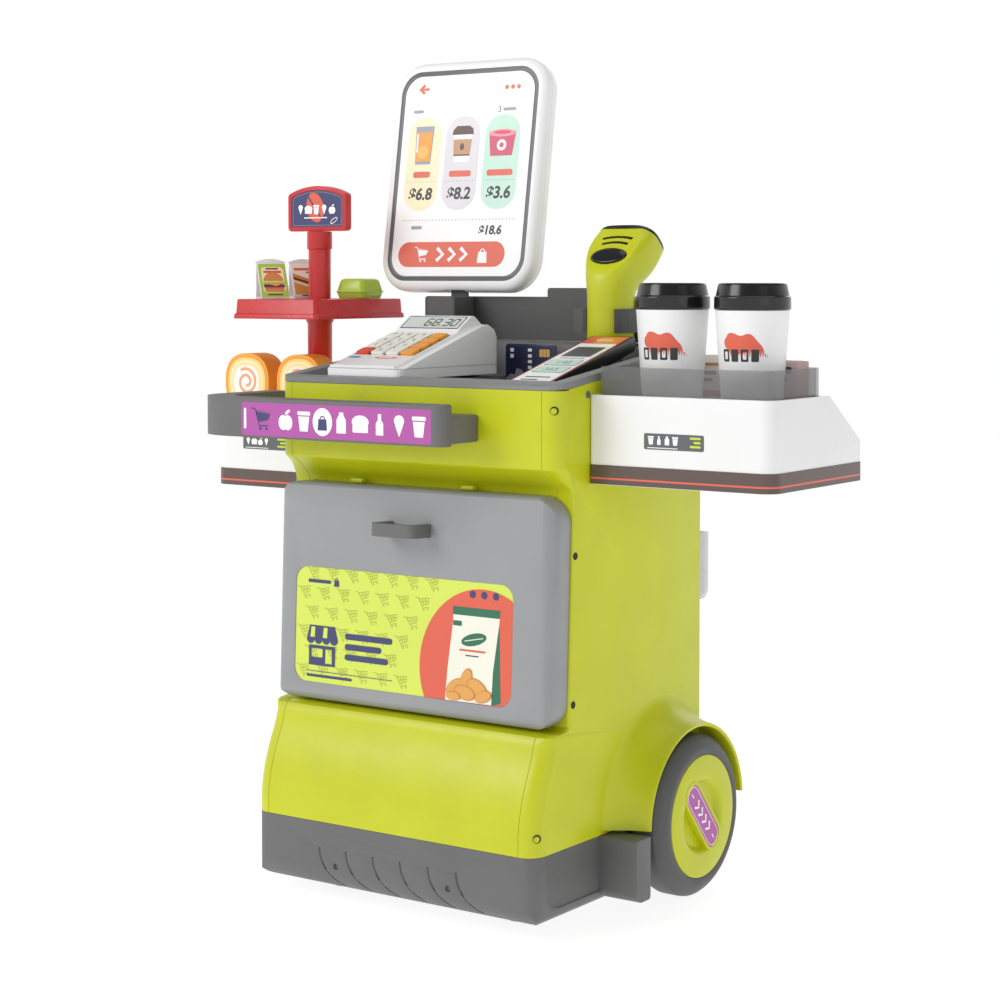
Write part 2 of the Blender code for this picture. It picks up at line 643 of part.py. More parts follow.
def wing(name, size, sign):
    """A white shelf box: sloping rear, sunk deck, open underneath."""
    front, back = size["front"], size["back"]
    low, high = size["low"], size["high"]
    slope_start, slope_end = size["slope_start"], size["slope_end"]
    outline = [(front, low), (back, low), (back, slope_end), (slope_start, high), (front, high)]
    x0, x1 = sorted((sign * WING_INNER, sign * WING_OUTER))
    body = put(name, drawn(outline, x0, x1), "white", rotation=FACING_SIDE)
    radius = 0.012
    corner = 0.003
    radii = (corner, radius, corner, corner) if sign > 0 else (radius, corner, corner, corner)
    plan = rounded((x0, front), (x1, back), radii)
    keep_common(body, tool(drawn(plan, low - 0.010, high + 0.010)))
    deck = high - DECK_SINK
    inset = [(front + WALL, low - 0.005), (back - WALL, low - 0.005), (back - WALL, slope_end - 0.003),
             (slope_start - 0.002, deck - WALL), (front + WALL, deck - WALL)]
    hollow = tool(drawn(inset, x0 + WALL, x1 - WALL), rotation=FACING_SIDE)
    inner_radii = [max(r - WALL, 0.001) for r in radii]
    inner_plan = rounded((x0 + WALL, front + WALL), (x1 - WALL, back - WALL), inner_radii)
    keep_common(hollow, tool(drawn(inner_plan, low - 0.010, high + 0.010)))
    cut(body, hollow)
    edge = 0.004
    recess = rounded((x0 + edge, front + edge), (x1 - edge, slope_start - edge), 0.008, 3)
    cut(body, tool(drawn(recess, deck, high + 0.010)))


def guard_right():
    """Clear fence round the deck of the right shelf."""
    base = WING_RIGHT["high"] - DECK_SINK + GAP
    top = 0.4400
    outlines = []
    for inset, radius in ((0.0045, 0.0070), (0.0063, 0.0055)):
        corner = (WING_INNER + inset, WING_RIGHT["front"] + inset)
        opposite = (WING_OUTER - inset, WING_RIGHT["slope_start"] - inset)
        outlines.append(rounded(corner, opposite, radius, 4))
    fence = put("guard_right", drawn(outlines[0], base, top), "smoke")
    cut(fence, tool(drawn(outlines[1], base - 0.005, top + 0.010)))


# ---------------------------------------------------------------- dessert stand and food

def stand():
    """Round post with collars, a flared tray and an arched sign."""
    deck = WING_LEFT["high"] - DECK_SINK + GAP
    r = POST_RADIUS
    top = SIGN_LOW - GAP
    profile = ((0.0, top), (r + 0.0015, top), (r + 0.0015, 0.5350), (r, 0.5345), (r, TRAY_HIGH + 0.001),
               (r, TRAY_LOW + 0.002), (r + 0.002, TRAY_LOW + 0.001), (r + 0.002, 0.4655),
               (r + 0.001, 0.4645), (r + 0.001, deck + 0.004),
               (r + 0.004, deck + 0.003), (r + 0.004, deck), (0.0, deck))
    put("stand_post", turned(profile, 24), "red", (STAND_X, STAND_Y, 0))
    half_x = 0.0495
    half_y = 0.0645
    lip = TRAY_LOW + 0.0060
    levels = ((TRAY_LOW + 0.0015, 0.0), (lip, 0.0004), (lip + 0.0002, 0.0014), (TRAY_HIGH, 0.0022))
    sections = []
    for height, inset in levels:
        outline = rounded((-half_x + inset, -half_y + inset), (half_x - inset, half_y - inset), 0.005, 3)
        sections.append([(x, y, height) for x, y in outline])
    tray = put("stand_tray", lofted(sections), "red", (STAND_X, STAND_Y, 0))
    inside_x = half_x - 0.007
    inside_y = half_y - 0.007
    hollow = rounded((-inside_x, -inside_y), (inside_x, inside_y), 0.003, 2)
    cut(tray, tool(drawn(hollow, TRAY_LOW - 0.002, TRAY_HIGH - 0.003), (STAND_X, STAND_Y, 0)))
    cut(tray, tool(rod(r + GAP, TRAY_LOW - 0.005, TRAY_HIGH + 0.005, 24), (STAND_X, STAND_Y, 0)))
    half = 0.0338
    low = SIGN_LOW
    arch = [(-half + 0.003, low), (half - 0.003, low)]
    arch += arc((half - 0.003, low + 0.003), 0.003, -60, 0, 2)
    arch += [(half, low + 0.034)]
    arch += arc((0, low + 0.041 - 0.079), 0.079, 65, 115, 10)
    arch += [(-half, low + 0.034)]
    arch += arc((-half + 0.003, low + 0.003), 0.003, 180, 240, 2)
    put("stand_sign", drawn(arch, -0.004, 0.004), "red", (STAND_X, STAND_Y, 0), FACING_FRONT)


def food():
    """Two roll cakes on the left shelf, two price cards and a snack box on the stand's tray."""
    deck = WING_LEFT["high"] - DECK_SINK + GAP
    radius = 0.026
    for name, x in (("roll_cake_1", -0.2715), ("roll_cake_2", -0.2095)):
        cake = put(name, rod(radius, -0.0115, 0.0115, 32), "cake", (x, 0.0995, deck + radius), FACING_FRONT)
        soften(cake, 0.002, 2)
    easel = [(0.0, 0.0), (0.0018, 0.0), (0.0032, 0.0030), (0.0140, 0.0030), (0.0155, 0.0), (0.0172, 0.0),
             (0.0030, 0.0345), (0.0018, 0.0360), (0.0, 0.0360)]
    window = [(0.0032, 0.0055), (0.0122, 0.0055), (0.0032, 0.0270)]
    half = 0.0135
    turn = easel_turn(-30)
    for name, x, y in (("burger_card", -0.2530, 0.0990), ("sandwich_card", -0.2490, 0.1400)):
        place = (x, y, TRAY_HIGH + GAP)
        card = put(name, drawn(easel, -half, half), "white", place, turn)
        cut(card, tool(drawn(window, -half - 0.005, half + 0.005), place, turn))
    levels = ((0.0, 0.0140), (0.0055, 0.0160), (0.0056, 0.0172), (0.0068, 0.0172), (0.0069, 0.0160),
              (0.0150, 0.0140), (0.0180, 0.0120))
    sections = []
    for height, half in levels:
        outline = rounded((-half, -half), (half, half), 0.004, 3)
        sections.append([(x, y, height) for x, y in outline])
    put("burger_box", lofted(sections), "lime_clear", (-0.1875, 0.1480, TRAY_HIGH + GAP))


def easel_turn(degrees):
    """Rotation that stands an easel drawing up and turns it about Z."""
    matrix = Matrix.Rotation(math.radians(degrees), 3, "Z") @ Matrix.Rotation(math.pi / 2, 3, "X")
    return matrix.to_euler()


def drinks():
    """Two lidded cups, a milk carton and a wrapped pack inside the fence of the right shelf."""
    deck = WING_RIGHT["high"] - DECK_SINK + GAP
    top = 0.4845 - deck
    taper = 0.0762
    foot = 0.0233
    wall = 0.0014
    cup = ((foot, 0.0), (foot + taper * top, top), (foot + taper * top - wall, top),
           (foot + taper * 0.002 - wall, 0.002))
    outside = list(reversed(cup[:2]))
    profile = [(0.0, 0.002), cup[3], cup[2]] + outside + [(0.0, 0.0)]
    rim = foot + taper * top
    lid = ((0.0, 0.0175), (0.0235, 0.0175), (0.0250, 0.0205), (0.0268, 0.0200), (0.0282, 0.0110),
           (0.0290, 0.0100), (0.0295, 0.0010), (0.0290, 0.0), (rim - 0.003, 0.0), (0.0, 0.0))
    for index, x in (("1", 0.1900), ("2", 0.2610)):
        place = (x, 0.0680, deck)
        put("cup_" + index, turned(profile, 32), "white", place)
        put("cup_lid_" + index, turned(lid, 24), "black", (x, 0.0680, deck + top + GAP))
    carton = put("milk_carton", block((-0.0150, -0.0050, 0.0), (0.0150, 0.0050, 0.0330)), "white",
                 (0.2080, 0.1030, deck))
    soften(carton, 0.001, 1)
    pack = put("snack_pack", block((-0.0250, -0.0050, 0.0), (0.0250, 0.0050, 0.0300)), "pink",
               (0.2660, 0.1030, deck))
    soften(pack, 0.003, 2)


# ---------------------------------------------------------------- card terminal

def on_key_plane(across, up_slope, proud):
    """A point on the sloping key face: across the face, up its slope and out of it."""
    turn = Matrix.Rotation(KEY_SLOPE, 3, "X")
    return KEY_PLANE + turn @ Vector((across, up_slope, proud))


def terminal():
    """Card terminal: lower case on four pads, upper case with key holes and a display block."""
    split = 0.4345
    low = POS_LOW
    plan = rounded((-POS_HALF, POS_FRONT), (POS_HALF, POS_BACK), 0.006, 3)
    lower = put("pos_lower_case", drawn(plan, low + 0.002, split), "white", (POS_X, 0, 0))
    hollow = rounded((-POS_HALF + WALL, POS_FRONT + WALL), (POS_HALF - WALL, POS_BACK - WALL), 0.004, 3)
    cut(lower, tool(drawn(hollow, low + 0.0045, split + 0.01), (POS_X, 0, 0)))
    for x in (-0.026, 0.026):
        for y in (0.006, 0.122):
            join(lower, tool(rod(0.004, low, low + 0.003, 16), (POS_X + x, y, 0)))
    start = POS_FRONT + 0.003
    face = [(start, face_height(start)), (0.089, face_height(0.089))]
    outline = [(POS_FRONT, split + GAP), (POS_BACK, split + GAP), (POS_BACK, 0.4530), (0.1270, 0.4655),
               (0.1060, 0.4770), (0.1010, 0.4770), (0.0840, face_height(0.0840) + 0.0020)]
    outline += [(0.0820, face_height(0.0820))] + [face[0]] + [(POS_FRONT, split + 0.0020)]
    upper = put("pos_upper_case", drawn(outline, -POS_HALF, POS_HALF), "white", (POS_X, 0, 0), FACING_SIDE)
    keep_common(upper, tool(drawn(plan, split - 0.01, 0.500), (POS_X, 0, 0)))
    soften(upper, 0.0015, 2)
    inside = [(POS_FRONT + WALL + 0.004, split - 0.005), (POS_BACK - WALL, split - 0.005),
              (POS_BACK - WALL, 0.4510), (0.1050, 0.4730), (0.1010, 0.4730),
              (0.0830, face_height(0.0830) - WALL),
              (POS_FRONT + WALL + 0.004, face_height(POS_FRONT + WALL + 0.004) - WALL)]
    cut(upper, tool(drawn(inside, -POS_HALF + WALL, POS_HALF - WALL), (POS_X, 0, 0), FACING_SIDE))
    for row in range(4):
        for column in range(4):
            key(upper, row, column)


def face_height(y):
    """Height of the sloping key face at a depth y."""
    return KEY_PLANE.z + (y - KEY_PLANE.y) * math.tan(KEY_SLOPE)


def key(case, row, column):
    """One key in its hole; row 0 is nearest the front edge, column 3 is the right-hand column."""
    across = (column - 1.5) * KEY_PITCH[0]
    up_slope = (row - 1.5) * KEY_PITCH[1]
    turn = (KEY_SLOPE, 0, 0)
    half_x = KEY_SIZE[0] / 2
    half_y = KEY_SIZE[1] / 2
    colour = "orange" if column == 3 else "red" if (row, column) == (0, 0) else "white"
    outline = rounded((-half_x, -half_y), (half_x, half_y), 0.0035, 2)
    middle = on_key_plane(across, up_slope, 0)
    put("key_%d_%d" % (row + 1, column + 1), drawn(outline, -0.0045, 0.0018), colour, middle, turn)
    hole = rounded((-half_x - GAP, -half_y - GAP), (half_x + GAP, half_y + GAP), 0.0038, 2)
    cut(case, tool(drawn(hole, -0.0060, 0.0060), middle, turn))


# ---------------------------------------------------------------- loose items, scanner, monitor

def payment_pad():
    """Slim black handheld lying nose-down in the bay against its rest."""
    slope = math.atan2(0.0362, 0.135)
    length = 0.138
    outline = rounded((0.0, -0.012), (length, 0.0), (0.003, 0.005, 0.002, 0.001), 3)
    half = 0.0205
    place = (0.0940, 0.0010, 0.4251)
    pad = put("payment_pad", drawn(outline, -half, half), "black", place, side_turn(slope))
    soften(pad, 0.0012, 2)


def bank_card():
    """Thin card standing in the slot."""
    outline = rounded((-0.0265, 0.3660), (0.0265, 0.4520), 0.003, 3)
    put("bank_card", drawn(outline, -0.0004, 0.0004), "navy", (0, 0.150, 0), FACING_FRONT)


def ring(centre_y, centre_z, half_x, half_d, lean, power, count=28):
    """Superellipse round a slanting axis: half_x across, half_d in depth, leaning back about X."""
    points = []
    for index in range(count):
        angle = 2 * math.pi * index / count
        across = math.copysign(abs(math.cos(angle)) ** (2 / power), math.cos(angle))
        depth = half_d * math.copysign(abs(math.sin(angle)) ** (2 / power), math.sin(angle))
        points.append((SCANNER_X + half_x * across, centre_y + depth * math.cos(lean),
                       centre_z - depth * math.sin(lean)))
    return points


def scanner():
    """Hand scanner: a round grip that widens into a head with a flat face, a nose cover and a button."""
    r = HANDLE_RADIUS
    rings = ((SCANNER_Y, SCANNER_FOOT, r - 0.002, r - 0.002, 0, 2),
             (SCANNER_Y, SCANNER_FOOT + 0.002, r, r, 0, 2),
             (SCANNER_Y, 0.4880, r, r, 0, 2), (0.1590, 0.4980, 0.0205, 0.0210, 6, 2.1),
             (0.1620, 0.5070, 0.0225, 0.0230, 14, 2.3), (0.1675, 0.5160, 0.0258, 0.0240, 25, 2.5),
             (0.1740, 0.5240, 0.0284, 0.0230, 33, 2.8), (0.1820, 0.5320, 0.0295, 0.0210, 39, 3.0))
    lean = math.radians(42)
    nose = Vector((0, 0.1900, 0.5390))
    nose_half = 0.0290
    along = Vector((0, math.sin(lean), math.cos(lean)))
    sections = [ring(y, z, a, b, math.radians(angle), power) for y, z, a, b, angle, power in rings]
    sections.append(ring(nose.y, nose.z, nose_half, 0.0200, lean, 3.0))
    mesh = lofted(sections)
    smooth(mesh)
    head = put("scanner_front", mesh, "lime")
    cover = []
    for height, shrink in ((GAP, 0.0), (0.0025, 0.0002), (0.0045, 0.0030)):
        middle = nose + along * height
        cover.append(ring(middle.y, middle.z, nose_half - shrink, 0.0200 - shrink, lean, 3.0))
    rear = put("scanner_rear", lofted(cover), "black")
    slope = (FACE_SLOPE, 0, 0)
    size = 0.060
    ahead = block((-size, -size, 0.0), (size, size, size))
    cut(head, tool(ahead, SCANNER_FACE, slope))
    cut(rear, tool(ahead.copy(), SCANNER_FACE, slope))
    oval = [(0.0170 * x, 0.0088 * y) for x, y in arc((0, 0), 1.0, 0, 345, 23)]
    pocket = [(x * 1.03, y * 1.05) for x, y in oval]
    cut(head, tool(drawn(pocket, -0.0052, 0.0100), SCANNER_FACE, slope))
    button = put("scanner_button", drawn(oval, -0.0035, 0.0018), "black", SCANNER_FACE, slope)
    soften(button, 0.0008, 2)


def monitor():
    """Tilting screen: a front frame and a back cover on a pivot at the foot."""
    pivot = anchor("monitor_pivot", MONITOR_PIVOT)
    turn = (-MONITOR_TILT + math.pi / 2, 0, 0)
    low = -MONITOR_BELOW
    high = low + MONITOR_HEIGHT
    seam = 0.009
    face = MONITOR_AHEAD
    rear = MONITOR_AHEAD - MONITOR_DEPTH
    outline = rounded((-MONITOR_HALF, low), (MONITOR_HALF, high), 0.030, 7)
    front = put("monitor_front", drawn(outline, face - seam, face), "white", rotation=turn, parent=pivot)
    behind = face - seam - GAP
    back = put("monitor_back", drawn(outline, rear, behind), "white", rotation=turn, parent=pivot)
    inner = rounded((-MONITOR_HALF + WALL, low + WALL), (MONITOR_HALF - WALL, high - WALL), 0.0275, 7)
    cut(front, tool(drawn(inner, face - seam - 0.005, face - WALL), rotation=turn, parent=pivot))
    cut(back, tool(drawn(inner, rear + WALL, face - seam + 0.005), rotation=turn, parent=pivot))
    notch = block((-0.0115, low - 0.005, rear - 0.011), (0.0115, 0.0085, face - WALL))
    cut(back, tool(notch, rotation=turn, parent=pivot))
    cut(front, tool(notch.copy(), rotation=turn, parent=pivot))


def main():
    start_scene()
    base_bumper()
    front_shell()
    side_panels()
    back_panel()
    console_tray()
    rear_upstand()
    rear_pocket()
    front_rail()
    feet()
    door()
    wheels()
    wing("wing_right", WING_RIGHT, 1)
    wing("wing_left", WING_LEFT, -1)
    guard_right()
    stand()
    food()
    drinks()
    terminal()
    payment_pad()
    bank_card()
    scanner()
    monitor()
    layout.location = (0, LAYOUT_SHIFT, 0)
    bpy.context.view_layer.update()


main()
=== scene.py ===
"""Looks for the toy cash register: detailed mouldings, printed labels, materials, light and camera.

Metres, +Z up, -Y is the customer's side. Distances in depth are given from the front feet's line, as
depths; SHIFT turns a depth into the frame's Y.
"""
import json
import math
import random

import bmesh
import bpy
from mathutils import Matrix, Vector


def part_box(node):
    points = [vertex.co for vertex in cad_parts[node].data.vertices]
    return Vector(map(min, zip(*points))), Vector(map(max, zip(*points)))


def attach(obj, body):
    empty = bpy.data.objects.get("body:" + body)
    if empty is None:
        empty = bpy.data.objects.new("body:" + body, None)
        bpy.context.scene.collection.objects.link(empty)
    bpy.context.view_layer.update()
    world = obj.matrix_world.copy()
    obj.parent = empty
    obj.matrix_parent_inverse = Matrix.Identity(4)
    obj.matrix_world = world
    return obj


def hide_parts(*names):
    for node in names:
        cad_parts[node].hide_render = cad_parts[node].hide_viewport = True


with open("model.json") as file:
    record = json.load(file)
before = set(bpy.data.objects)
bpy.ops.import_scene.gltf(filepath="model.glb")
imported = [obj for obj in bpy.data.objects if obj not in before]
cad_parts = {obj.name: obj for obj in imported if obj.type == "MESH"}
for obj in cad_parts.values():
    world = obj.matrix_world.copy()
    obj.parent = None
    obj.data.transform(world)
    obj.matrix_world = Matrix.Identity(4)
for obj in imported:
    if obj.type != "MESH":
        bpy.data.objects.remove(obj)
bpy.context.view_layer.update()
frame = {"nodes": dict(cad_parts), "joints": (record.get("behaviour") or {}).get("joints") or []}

RAIL_LOW, RAIL_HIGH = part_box("front_rail")
SHIFT = RAIL_LOW.y + 0.070
GAP = 0.0003
WALL = 0.0025

BODY_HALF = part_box("front_shell")[1].x
BODY_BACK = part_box("back_panel")[1].y - SHIFT
BASE_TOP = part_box("base_bumper")[1].z
BASE_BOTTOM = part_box("base_bumper")[0].z
BASE_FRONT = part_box("base_bumper")[0].y - SHIFT
CORNER = 0.014
DOOR_CORNER = 0.0018
HEAD_FRONT = -0.020
SHELL_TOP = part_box("front_shell")[1].z

FACING_FRONT = Matrix.Rotation(math.pi / 2, 4, "X")
FACING_SIDE = Matrix.Rotation(math.pi / 2, 4, "Z") @ Matrix.Rotation(math.pi / 2, 4, "X")
FACING_LEFT = Matrix.Rotation(-math.pi / 2, 4, "Z") @ Matrix.Rotation(math.pi / 2, 4, "X")


# ------------------------------------------------------------------ mesh tools

def arc(centre, radius, start, stop, steps):
    """Points on an arc, angles in degrees, both ends included."""
    points = []
    for index in range(steps + 1):
        angle = math.radians(start + (stop - start) * index / steps)
        points.append((centre[0] + radius * math.cos(angle), centre[1] + radius * math.sin(angle)))
    return points


def rounded(low, high, radii, steps=8):
    """Outline of a rectangle; radii run from the low-low corner counter-clockwise."""
    if not isinstance(radii, (tuple, list)):
        radii = (radii,) * 4
    corners = ((low[0], low[1], 1, 1, 180), (high[0], low[1], -1, 1, 270),
               (high[0], high[1], -1, -1, 0), (low[0], high[1], 1, -1, 90))
    points = []
    for (x, y, sx, sy, start), radius in zip(corners, radii):
        if radius <= 0:
            points.append((x, y))
        else:
            points += arc((x + sx * radius, y + sy * radius), radius, start, start + 90, steps)
    return points


def oval(centre, half_x, half_y, count=40, turn=0.0):
    """Ellipse outline, turned by an angle in degrees."""
    lean = math.radians(turn)
    points = []
    for index in range(count):
        angle = 2 * math.pi * index / count
        x = half_x * math.cos(angle)
        y = half_y * math.sin(angle)
        points.append((centre[0] + x * math.cos(lean) - y * math.sin(lean),
                       centre[1] + x * math.sin(lean) + y * math.cos(lean)))
    return points


def from_object(obj):
    """The evaluated mesh of a helper object, which is then removed."""
    depsgraph = bpy.context.evaluated_depsgraph_get()
    mesh = bpy.data.meshes.new_from_object(obj.evaluated_get(depsgraph))
    bpy.data.objects.remove(obj)
    return mesh


def helper(data):
    obj = bpy.data.objects.new("helper", data)
    bpy.context.scene.collection.objects.link(obj)
    return obj


def drawn(outline, low, high, holes=()):
    """A flat outline, with holes, extruded along the drawing's Z from low to high."""
    curve = bpy.data.curves.new("outline", "CURVE")
    curve.dimensions = "2D"
    curve.fill_mode = "BOTH"
    curve.extrude = (high - low) / 2.0
    for loop in (outline, *holes):
        spline = curve.splines.new("POLY")
        spline.points.add(len(loop) - 1)
        for point, (x, y) in zip(spline.points, loop):
            point.co = (x, y, 0.0, 1.0)
        spline.use_cyclic_u = True
    mesh = from_object(helper(curve))
    mesh.transform(Matrix.Translation((0, 0, (low + high) / 2.0)))
    return welded(mesh)


def welded(mesh, distance=0.00001):
    shape = bmesh.new()
    shape.from_mesh(mesh)
    bmesh.ops.remove_doubles(shape, verts=shape.verts, dist=distance)
    bmesh.ops.recalc_face_normals(shape, faces=shape.faces)
    shape.to_mesh(mesh)
    shape.free()
    return mesh


def block(low, high):
    """A box between two corners."""
    shape = bmesh.new()
    size = [b - a for a, b in zip(low, high)]
    middle = [(a + b) / 2 for a, b in zip(low, high)]
    matrix = Matrix.Translation(middle) @ Matrix.Diagonal((*size, 1.0))
    bmesh.ops.create_cube(shape, size=1.0, matrix=matrix)
    mesh = bpy.data.meshes.new("block")
    shape.to_mesh(mesh)
    shape.free()
    return mesh


def turned(profile, segments=64):
    """A closed turned shape from (radius, height) points."""
    mesh = bpy.data.meshes.new("profile")
    points = [(radius, 0.0, height) for radius, height in profile]
    mesh.from_pydata(points, [(i, i + 1) for i in range(len(points) - 1)], [])
    obj = helper(mesh)
    screw = obj.modifiers.new("screw", "SCREW")
    screw.steps = segments
    screw.render_steps = segments
    screw.use_merge_vertices = True
    screw.merge_threshold = 0.00001
    return smooth(welded(from_object(obj)))


def lofted(sections, closed_ends=True, closed_loop=True):
    """A skin over sections that all have the same number of points."""
    shape = bmesh.new()
    rings = [[shape.verts.new(point) for point in section] for section in sections]
    count = len(sections[0])
    last = count if closed_loop else count - 1
    for lower, upper in zip(rings, rings[1:]):
        for index in range(last):
            following = (index + 1) % count
            shape.faces.new((lower[index], lower[following], upper[following], upper[index]))
    if closed_ends:
        shape.faces.new(list(reversed(rings[0])))
        shape.faces.new(rings[-1])
    bmesh.ops.recalc_face_normals(shape, faces=shape.faces)
    mesh = bpy.data.meshes.new("loft")
    shape.to_mesh(mesh)
    shape.free()
    return mesh


def tube(points, radius, cyclic=False, resolution=4):
    """A round tube along a path."""
    curve = bpy.data.curves.new("path", "CURVE")
    curve.dimensions = "3D"
    curve.bevel_depth = radius
    curve.bevel_resolution = resolution
    curve.use_fill_caps = True
    spline = curve.splines.new("POLY")
    spline.points.add(len(points) - 1)
    for point, place in zip(spline.points, points):
        point.co = (*place, 1.0)
    spline.use_cyclic_u = cyclic
    mesh = from_object(helper(curve))
    mesh.shade_smooth()
    return mesh


def stroke(points, width, closed=False):
    """Outline of a line of a given width, with square ends."""
    half = width / 2
    left = []
    right = []
    count = len(points)
    for index, point in enumerate(points):
        before = Vector(points[(index - 1) % count] if closed or index else points[0])
        after = Vector(points[(index + 1) % count] if closed or index < count - 1 else points[-1])
        along = (after - before).normalized()
        side = Vector((-along.y, along.x)) * half
        left.append(tuple(Vector(point) + side))
        right.append(tuple(Vector(point) - side))
    return left + list(reversed(right))


def changed(mesh, *changes):
    """The mesh after a list of modifiers, each (kind, settings)."""
    obj = helper(mesh)
    for kind, settings in changes:
        modifier = obj.modifiers.new(kind.lower(), kind)
        for key, value in settings.items():
            setattr(modifier, key, value)
    return from_object(obj)


def boolean(mesh, operation, others):
    tools = [helper(other) for other in others]
    for other in tools:
        other.hide_viewport = False
    changes = [("BOOLEAN", dict(operation=operation, solver="EXACT", object=other)) for other in tools]
    result = changed(mesh, *changes)
    for other in tools:
        bpy.data.objects.remove(other)
    return result


def cut(mesh, *others):
    return boolean(mesh, "DIFFERENCE", others)


def common(mesh, *others):
    return boolean(mesh, "INTERSECT", others)


def merged(*meshes):
    """Several closed shapes of one piece in one mesh."""
    shape = bmesh.new()
    for mesh in meshes:
        shape.from_mesh(mesh)
    result = bpy.data.meshes.new("merged")
    shape.to_mesh(result)
    shape.free()
    return result


def soft(mesh, width, segments=3, angle=35):
    """Rounded edges, shaded smooth."""
    mesh = changed(welded(mesh), ("BEVEL", dict(width=width, segments=segments, limit_method="ANGLE",
                                                angle_limit=math.radians(angle), harden_normals=False,
                                                use_clamp_overlap=True)))
    return smooth(mesh, 40)


def smooth(mesh, angle=35):
    mesh.shade_smooth()
    mesh.set_sharp_from_angle(angle=math.radians(angle))
    return mesh


def moved(mesh, matrix):
    mesh.transform(matrix)
    return mesh


def place(x, depth, z):
    return Matrix.Translation((x, depth, z))


def mirrored(mesh):
    copy = mesh.copy()
    copy.transform(Matrix.Scale(-1, 4, (1, 0, 0)))
    copy.flip_normals()
    return copy


def piece(name, mesh, material, body, stands_for=()):
    """A finished piece that rides on a body; depths become the frame's Y here."""
    mesh.transform(Matrix.Translation((0, SHIFT, 0)))
    mesh.name = name
    if material is not None:
        mesh.materials.clear()
        mesh.materials.append(material)
    obj = bpy.data.objects.new(name, mesh)
    bpy.context.scene.collection.objects.link(obj)
    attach(obj, body)
    if stands_for:
        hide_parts(*stands_for)
    return obj


# ------------------------------------------------------------------ materials

def linear(colour):
    """Screen colour, 0 to 255, as linear values."""
    values = []
    for channel in colour:
        value = channel / 255
        values.append(value / 12.92 if value <= 0.04045 else ((value + 0.055) / 1.055) ** 2.4)
    return (*values, 1.0)


def plastic(name, colour, roughness=0.40, grain=1400.0, depth=0.12, mottle=0.035, wear=0.05, **settings):
    """Moulded plastic: fine surface grain, slight flow mottling and uneven gloss."""
    material = bpy.data.materials.new(name)
    material.use_nodes = True
    nodes = material.node_tree.nodes
    links = material.node_tree.links
    shader = nodes["Principled BSDF"]
    for socket, value in settings.items():
        shader.inputs[socket.replace("_", " ")].default_value = value
    where = nodes.new("ShaderNodeTexCoord").outputs["Object"]

    def noise(scale, detail):
        node = nodes.new("ShaderNodeTexNoise")
        node.inputs["Scale"].default_value = scale
        node.inputs["Detail"].default_value = detail
        links.new(where, node.inputs["Vector"])
        return node.outputs["Fac"]

    def remap(value, low, high):
        node = nodes.new("ShaderNodeMapRange")
        node.inputs["From Min"].default_value = 0.3
        node.inputs["From Max"].default_value = 0.7
        node.inputs["To Min"].default_value = low
        node.inputs["To Max"].default_value = high
        links.new(value, node.inputs["Value"])
        return node.outputs["Result"]

    shade = nodes.new("ShaderNodeHueSaturation")
    shade.inputs["Color"].default_value = linear(colour)
    links.new(remap(noise(24.0, 4.0), 1.0 - mottle, 1.0 + mottle), shade.inputs["Value"])
    links.new(shade.outputs["Color"], shader.inputs["Base Color"])
    links.new(remap(noise(60.0, 5.0), roughness - wear, roughness + wear), shader.inputs["Roughness"])
    bump = nodes.new("ShaderNodeBump")
    bump.inputs["Strength"].default_value = depth
    bump.inputs["Distance"].default_value = 0.0003
    links.new(noise(grain, 3.0), bump.inputs["Height"])
    links.new(bump.outputs["Normal"], shader.inputs["Normal"])
    return material


def ink(name, colour, roughness=0.35):
    """Printed film: smooth, with a trace of screen grain."""
    return plastic(name, colour, roughness, grain=5000.0, depth=0.03, mottle=0.02, wear=0.03)


LIME = plastic("lime_plastic", (198, 204, 14), 0.36, depth=0.05)
DARK = plastic("dark_grey_plastic", (104, 104, 104), 0.55, depth=0.20)
DOOR_GREY = plastic("door_grey_plastic", (150, 151, 153), 0.45, depth=0.12)
RIM_GREY = plastic("rim_grey_plastic", (132, 133, 134), 0.50, depth=0.15)
UPSTAND = plastic("upstand_grey_plastic", (82, 82, 82), 0.50, depth=0.15)
WHITE = plastic("white_plastic", (240, 240, 240), 0.35, depth=0.05, mottle=0.012)
RED = plastic("red_plastic", (196, 40, 42), 0.30, depth=0.04)
# Black plastic of the lids, pad, nose and trigger; the same material also paints the shade at the floor of
# the scanner's slots.
BLACK_AND_PAINTED_SHADE = plastic("black_plastic_and_painted_shade", (26, 26, 27), 0.18, depth=0.03)
# Dark rubber of the feet; the same material also paints the shade in the screw holes and the shadow
# crescents beside the plugs.
RUBBER_AND_PAINTED_SHADE = plastic("foot_rubber_and_painted_shade", (28, 28, 28), 0.70, depth=0.30)
TYRE = plastic("tyre_plastic", (86, 86, 87), 0.55, depth=0.20)
STEEL = plastic("axle_steel", (190, 190, 192), 0.30, grain=2600.0, depth=0.10, Metallic=1.0)
SMOKE = plastic("smoky_clear", (120, 120, 120), 0.08, depth=0.01, Alpha=0.42)
FROST = plastic("frosted_clear", (215, 218, 220), 0.30, depth=0.08, Alpha=0.55)
LIME_CLEAR = plastic("lime_clear", (176, 205, 40), 0.20, depth=0.03, Alpha=0.86)
ORANGE_KEY = plastic("orange_keys", (240, 160, 50), 0.40, depth=0.04)
WHITE_KEY = plastic("white_keys", (236, 236, 226), 0.40, depth=0.04)
RED_KEY = plastic("red_key", (222, 72, 40), 0.40, depth=0.04)
CAKE = plastic("sponge_skin", (246, 168, 58), 0.60, grain=900.0, depth=0.5)

